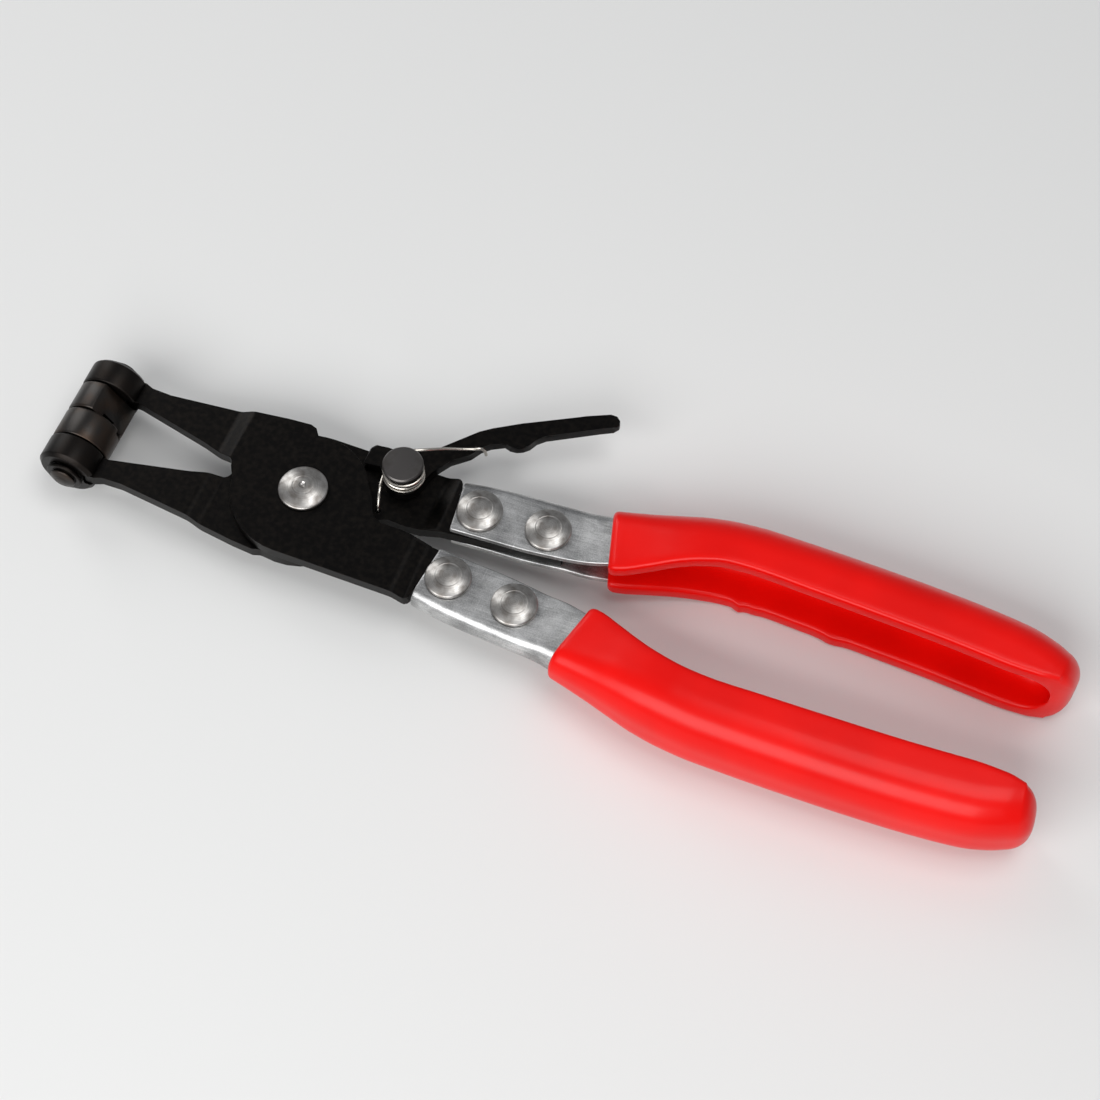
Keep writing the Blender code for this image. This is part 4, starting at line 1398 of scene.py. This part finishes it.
            # The hollow narrows evenly to a round end, and grows shallow only close to it
            pinch = math.sqrt(max(1.0 - into**3, 0.0))
            depth = math.sqrt(max(1.0 - into**8, 0.0))
            sections.append(self.section(
                x, outside=coat, inside=coat, lip=coat + self.swell(x),
                lip_round=min(self.lip_start + coat * self.lip_growth, self.lip_round),
                depth=max(depth, CLOSED_DEPTH), pinch=max(pinch, CLOSED_PINCH), droop=self.hang(x),
            ))
        sections += self.closing(metal_end)
        name = self.word + "_dipped_grip"
        grip = pressed_wall(name, sections, self.side)
        complete(grip, self.body, VINYL, self.word + "_grip", name + "_red")

    def closing(self, metal_end: float) -> list[Section]:
        """Sections of the rounded blunt end, past the metal."""
        coat = self.dip - self.coat_inset
        last = self.section(metal_end)
        middle = (last.open_edge + last.web) / 2.0
        reach = (last.web - last.open_edge) / 2.0
        sections = []
        for share in (0.12, 0.25, 0.38, 0.50, 0.62, 0.72, 0.81, 0.88, 0.94, 0.98, 1.0):
            begun = self.end_taper + (1.0 - self.end_taper) * share
            arc = math.sqrt(max(1.0 - begun**2, 0.0) / (1.0 - self.end_taper**2))
            full = self.end_flat + (1.0 - self.end_flat) * arc
            drift = middle + self.end_lean * self.dip_end * share
            half = (last.half + coat) * full - coat
            wide = (reach + coat) * full - coat
            sections.append(Section(
                metal_end + self.dip_end * share, drift - wide, drift + wide, half,
                (last.corner + coat) * full - coat, self.end_lean, coat, coat, coat,
                self.end_lip_round * full, CLOSED_DEPTH, CLOSED_PINCH,
            ))
        return sections

    def build_rivet(self, number: int, place: Point) -> None:
        """A rivet with a domed head on both flanges."""
        centre = PIVOT + Vector((place[0], self.side.value * place[1], 0.0))
        head = crown(self.rivet_radius, self.rivet_base, 0.5 * MM, self.rivet_height, 0.55)
        upper = [(self.rivet_shank, self.rivet_base)] + head
        name = f"{self.word}_rivet_{number}"
        rivet = turned(name, flipped(upper) + upper, centre)
        complete(rivet, self.body, RIVET, f"{self.word}_handle_rivet_{number}", name + "_steel", centre)


@dataclass
class LeverLock:
    """The lock lever, the stepped pin that it turns on, the washer and the spring."""

    pin_x: float = 19.1 * MM
    pin_y: float = 11.0 * MM
    lever_bottom: float = 0.15 * MM
    lever_top: float = 2.55 * MM
    eye_radius: float = 4.2 * MM
    eye_margin: float = 0.6 * MM
    outline_round: float = 30.0
    edge_width: float = 0.38 * MM
    shoulder: float = 2.5 * MM
    neck: float = 3.3 * MM
    shank: float = 2.1 * MM
    head_radius: float = 4.5 * MM
    head_bottom: float = 7.4806 * MM
    head_thickness: float = 1.1 * MM
    washer_radius: float = 4.2 * MM
    washer_top: float = -3.25 * MM
    washer_thickness: float = 0.8 * MM
    formed_radius: float = 3.3 * MM
    formed_height: float = 1.1 * MM
    wire: float = 0.35 * MM
    coil: float = 4.3 * MM
    coil_bottom: float = 3.25 * MM
    pitch: float = 1.13 * MM
    turns: float = 3.0 + 1.0 / 6.0
    lever_leg: float = 14.0 * MM
    plate_leg: float = 8.5 * MM

    @property
    def place(self) -> Vector:
        """The lock pin's axis."""
        return PIVOT + Vector((self.pin_x, self.pin_y, 0.0))

    def build(self) -> None:
        """Builds the four pieces."""
        self.build_lever()
        self.build_pin()
        self.build_washer()
        self.build_spring()

    def build_lever(self) -> None:
        """The lever, its outline's corners rounded before its edges."""
        lever = refined_copy("lock_lever", "lever_plate")
        place = self.place

        def on_outline(first: Vector, second: Vector) -> bool:
            """Whether an edge stands upright on the outline, clear of the eye."""
            upright = (first.xy - second.xy).length < ON_LINE
            return upright and (first.xy - place.xy).length > self.eye_radius - self.eye_margin

        if choose_edges(lever, on_outline):
            with editing(lever, "EDGE"):
                bpy.ops.mesh.bevel(
                    offset_type="PERCENT", offset_pct=self.outline_round, segments=3, affect="EDGES"
                )
        press_edges(lever, self.edge_width)
        dress(lever, BLACK_PLATE.material("lever_black"), BLACK_EDGE.material("lever_edge"))
        hand_over(lever, Body.LEVER, BLACK_PLATE, "lock_lever")

    def build_pin(self) -> None:
        """The pin: formed end, shank, shoulder, neck and flat disc head."""
        seat = self.washer_top - self.washer_thickness - CLEARANCE
        top = self.head_bottom + self.head_thickness
        profile = formed_end(self.formed_radius, seat, 0.35 * MM, self.formed_height)
        profile += [(self.shank, seat), (self.shank, self.lever_bottom)]
        shoulder_top = self.lever_top + CLEARANCE
        profile += [(self.shoulder, self.lever_bottom), (self.shoulder, shoulder_top)]
        profile += filleted([
            (self.shoulder, shoulder_top, 0.0), (self.neck, shoulder_top, 0.15 * MM),
            (self.neck, self.head_bottom, 0.10 * MM), (self.head_radius, self.head_bottom, 0.12 * MM),
            (self.head_radius, top - 0.34 * MM, 0.10 * MM), (self.head_radius - 0.34 * MM, top, 0.10 * MM),
            (0.0, top, 0.0),
        ])
        pin = turned("lock_pin_turned", profile, self.place)
        complete(pin, Body.LOWER_HALF, PIN, "lock_pin", "lock_pin_dark", self.place)

    def build_washer(self) -> None:
        """The washer under the near plate."""
        ring = flat_ring(self.shank + CLEARANCE, self.washer_radius, self.washer_top, self.washer_thickness)
        washer = turned("lock_washer", ring, self.place, closed=True, segments=SMALL_SEGMENTS)
        complete(washer, Body.LOWER_HALF, PIN, "lock_pin_washer", "lock_washer_dark", self.place)

    def wire_knots(self) -> list[Vector]:
        """The spring's line: plate leg, coil and lever leg."""
        top = self.coil_bottom + self.pitch * self.turns
        resting = self.lever_top + CLEARANCE + self.wire
        below = (
            (-0.330, -0.985, 2.95 * MM - 4.5 * MM), (-0.330, -0.975, self.lever_bottom + self.wire),
            (-0.355, -0.880, (self.coil_bottom + self.lever_bottom) / 2.0), (-0.425, -0.600, self.coil_bottom),
            (-0.485, -0.300, self.coil_bottom),
        )
        above = (
            (0.121, 0.393, top), (0.420, 0.625, (top + resting) / 2.0), (0.790, 0.845, resting),
            (0.910, 0.905, resting), (0.972, 0.930, self.lever_top - self.wire),
            (0.986, 0.940, self.lever_bottom + self.wire),
        )
        knots = [self.place + Vector((self.plate_leg * x, self.plate_leg * y, z)) for x, y, z in below]
        count = round(self.turns * 24)
        for step in range(count + 1):
            done = self.turns * step / count
            angle = math.pi - math.tau * done
            spot = (self.coil * math.cos(angle), self.coil * math.sin(angle), self.coil_bottom + self.pitch * done)
            knots.append(self.place + Vector(spot))
        return knots + [self.place + Vector((self.lever_leg * x, self.lever_leg * y, z)) for x, y, z in above]

    def build_spring(self) -> None:
        """The spring as one unbroken round wire."""
        path = eased(self.wire_knots(), 3)
        curve = bpy.data.curves.new("spring_wire", "CURVE")
        curve.dimensions = "3D"
        curve.bevel_depth = self.wire
        curve.bevel_resolution = 3
        curve.use_fill_caps = True
        run = curve.splines.new("POLY")
        run.points.add(len(path) - 1)
        for point, place in zip(run.points, path):
            point.co = (*place, 1.0)
        spring = bpy.data.objects.new("spring_wire", curve)
        bpy.context.scene.collection.objects.link(spring)
        activate(spring)
        bpy.ops.object.convert(target="MESH")
        spring = bpy.context.object
        face_out(spring)
        smooth(spring)
        complete(spring, Body.LOWER_HALF, WIRE, "lock_spring", "spring_bright")


def eased(knots: Sequence[Vector], steps: int) -> list[Vector]:
    """A smooth line through knots, without doubling back between close ones.

    Args:
        knots: The points that it passes through.
        steps: Steps from each knot to the next.

    Returns:
        The finer points.
    """
    points = []
    for index in range(len(knots) - 1):
        start, end = knots[index], knots[index + 1]
        before = knots[max(index - 1, 0)]
        after = knots[min(index + 2, len(knots) - 1)]
        length = (end - start).length
        leave, arrive = (end - before).normalized() * length, (after - start).normalized() * length
        for step in range(steps):
            share = step / steps
            square, cube = share**2, share**3
            points.append(
                start * (2.0 * cube - 3.0 * square + 1.0) + leave * (cube - 2.0 * square + share)
                + end * (3.0 * square - 2.0 * cube) + arrive * (cube - square)
            )
    return points + [knots[-1]]


@dataclass
class Studio:
    """The pale floor, the soft lights and the camera."""

    azimuth: float = math.radians(21.50)
    elevation: float = math.radians(60.61)
    distance: float = 0.4956
    target: tuple[float, float, float] = (-0.000892, -0.000717, 0.01002)
    lens: float = 75.27
    sensor: float = 36.0
    floor_size: float = 8.0
    room_colour: Colour = (0.94, 0.96, 1.0)
    room_strength: float = 0.24
    # Softboxes by name: place, size and power in watts
    softboxes: tuple[tuple[str, Corner, Point, float], ...] = (
        ("front_box", (-0.12, -0.78, 0.62), (1.10, 0.55), 8.5),
        ("top_box", (0.25, 0.05, 1.00), (0.60, 0.50), 3.0),
        ("rim_strip", (-0.65, 0.40, 0.45), (0.30, 0.60), 1.4),
    )

    def build(self) -> None:
        """Builds the studio."""
        self.lay_floor()
        self.hang_lights()
        self.set_camera()

    def lay_floor(self) -> None:
        """The floor, with its edge far outside the photograph's view."""
        bpy.ops.object.select_all(action="DESELECT")
        bpy.ops.mesh.primitive_plane_add(size=self.floor_size)
        floor = bpy.context.object
        floor.name = "studio_floor"
        dress(floor, FLOOR.material("studio_floor_pale"))

    def hang_lights(self) -> None:
        """A wide front softbox, a top one and a rim strip, with a soft grey room round them."""
        world = bpy.data.worlds.new("studio_room")
        world.use_nodes = True
        room = world.node_tree.nodes["Background"]
        room.inputs["Color"].default_value = (*self.room_colour, 1.0)
        room.inputs["Strength"].default_value = self.room_strength
        bpy.context.scene.world = world
        bpy.context.scene.view_settings.view_transform = "Standard"
        for name, place, size, power in self.softboxes:
            self.softbox(name, place, size, power)

    @staticmethod
    def softbox(name: str, place: Corner, size: Point, power: float) -> None:
        """One rectangular soft light that faces the middle of the pliers.

        Args:
            name: The light's name.
            place: Where it hangs.
            size: Its width and height.
            power: Its power in watts.
        """
        data = bpy.data.lights.new(name, "AREA")
        data.shape = "RECTANGLE"
        data.size, data.size_y = size
        data.energy = power
        light = bpy.data.objects.new(name, data)
        light.location = place
        light.rotation_euler = (-Vector(place)).to_track_quat("-Z", "Y").to_euler()
        bpy.context.scene.collection.objects.link(light)

    def set_camera(self) -> None:
        """The camera at the photograph's angle."""
        back = Vector((
            math.sin(self.azimuth) * math.cos(self.elevation), -math.cos(self.azimuth) * math.cos(self.elevation),
            math.sin(self.elevation),
        ))
        data = bpy.data.cameras.new("camera")
        data.lens, data.sensor_width = self.lens, self.sensor
        data.clip_start, data.clip_end = 0.01, 20.0
        camera = bpy.data.objects.new("camera", data)
        camera.location = Vector(self.target) + back * self.distance
        camera.rotation_euler = (-back).to_track_quat("-Z", "Y").to_euler()
        bpy.context.scene.collection.objects.link(camera)
        bpy.context.scene.camera = camera


def main() -> None:
    """Builds the pliers and the studio."""
    logging.basicConfig(level=logging.INFO, format="%(message)s")
    Studio().build()
    JawPlate("lower_jaw_plate", "lower_plate_pressing", Body.LOWER_HALF).build()
    JawPlate("upper_jaw_plate", "upper_plate_pressing", Body.UPPER_HALF).build()
    MainPivot().build()
    JawTip(Side.NEAR, Body.LOWER_HALF, Body.LOWER_TIP, "lower", math.radians(90.0), 0.0).build()
    JawTip(Side.FAR, Body.UPPER_HALF, Body.UPPER_TIP, "upper", math.radians(-35.0), math.radians(-35.0)).build()
    Handle(Side.FAR, Body.LOWER_HALF, "upper", drips=UPPER_DRIPS).build()
    Handle(Side.NEAR, Body.UPPER_HALF, "lower").build()
    LeverLock().build()


if __name__ == "__main__":
    main()
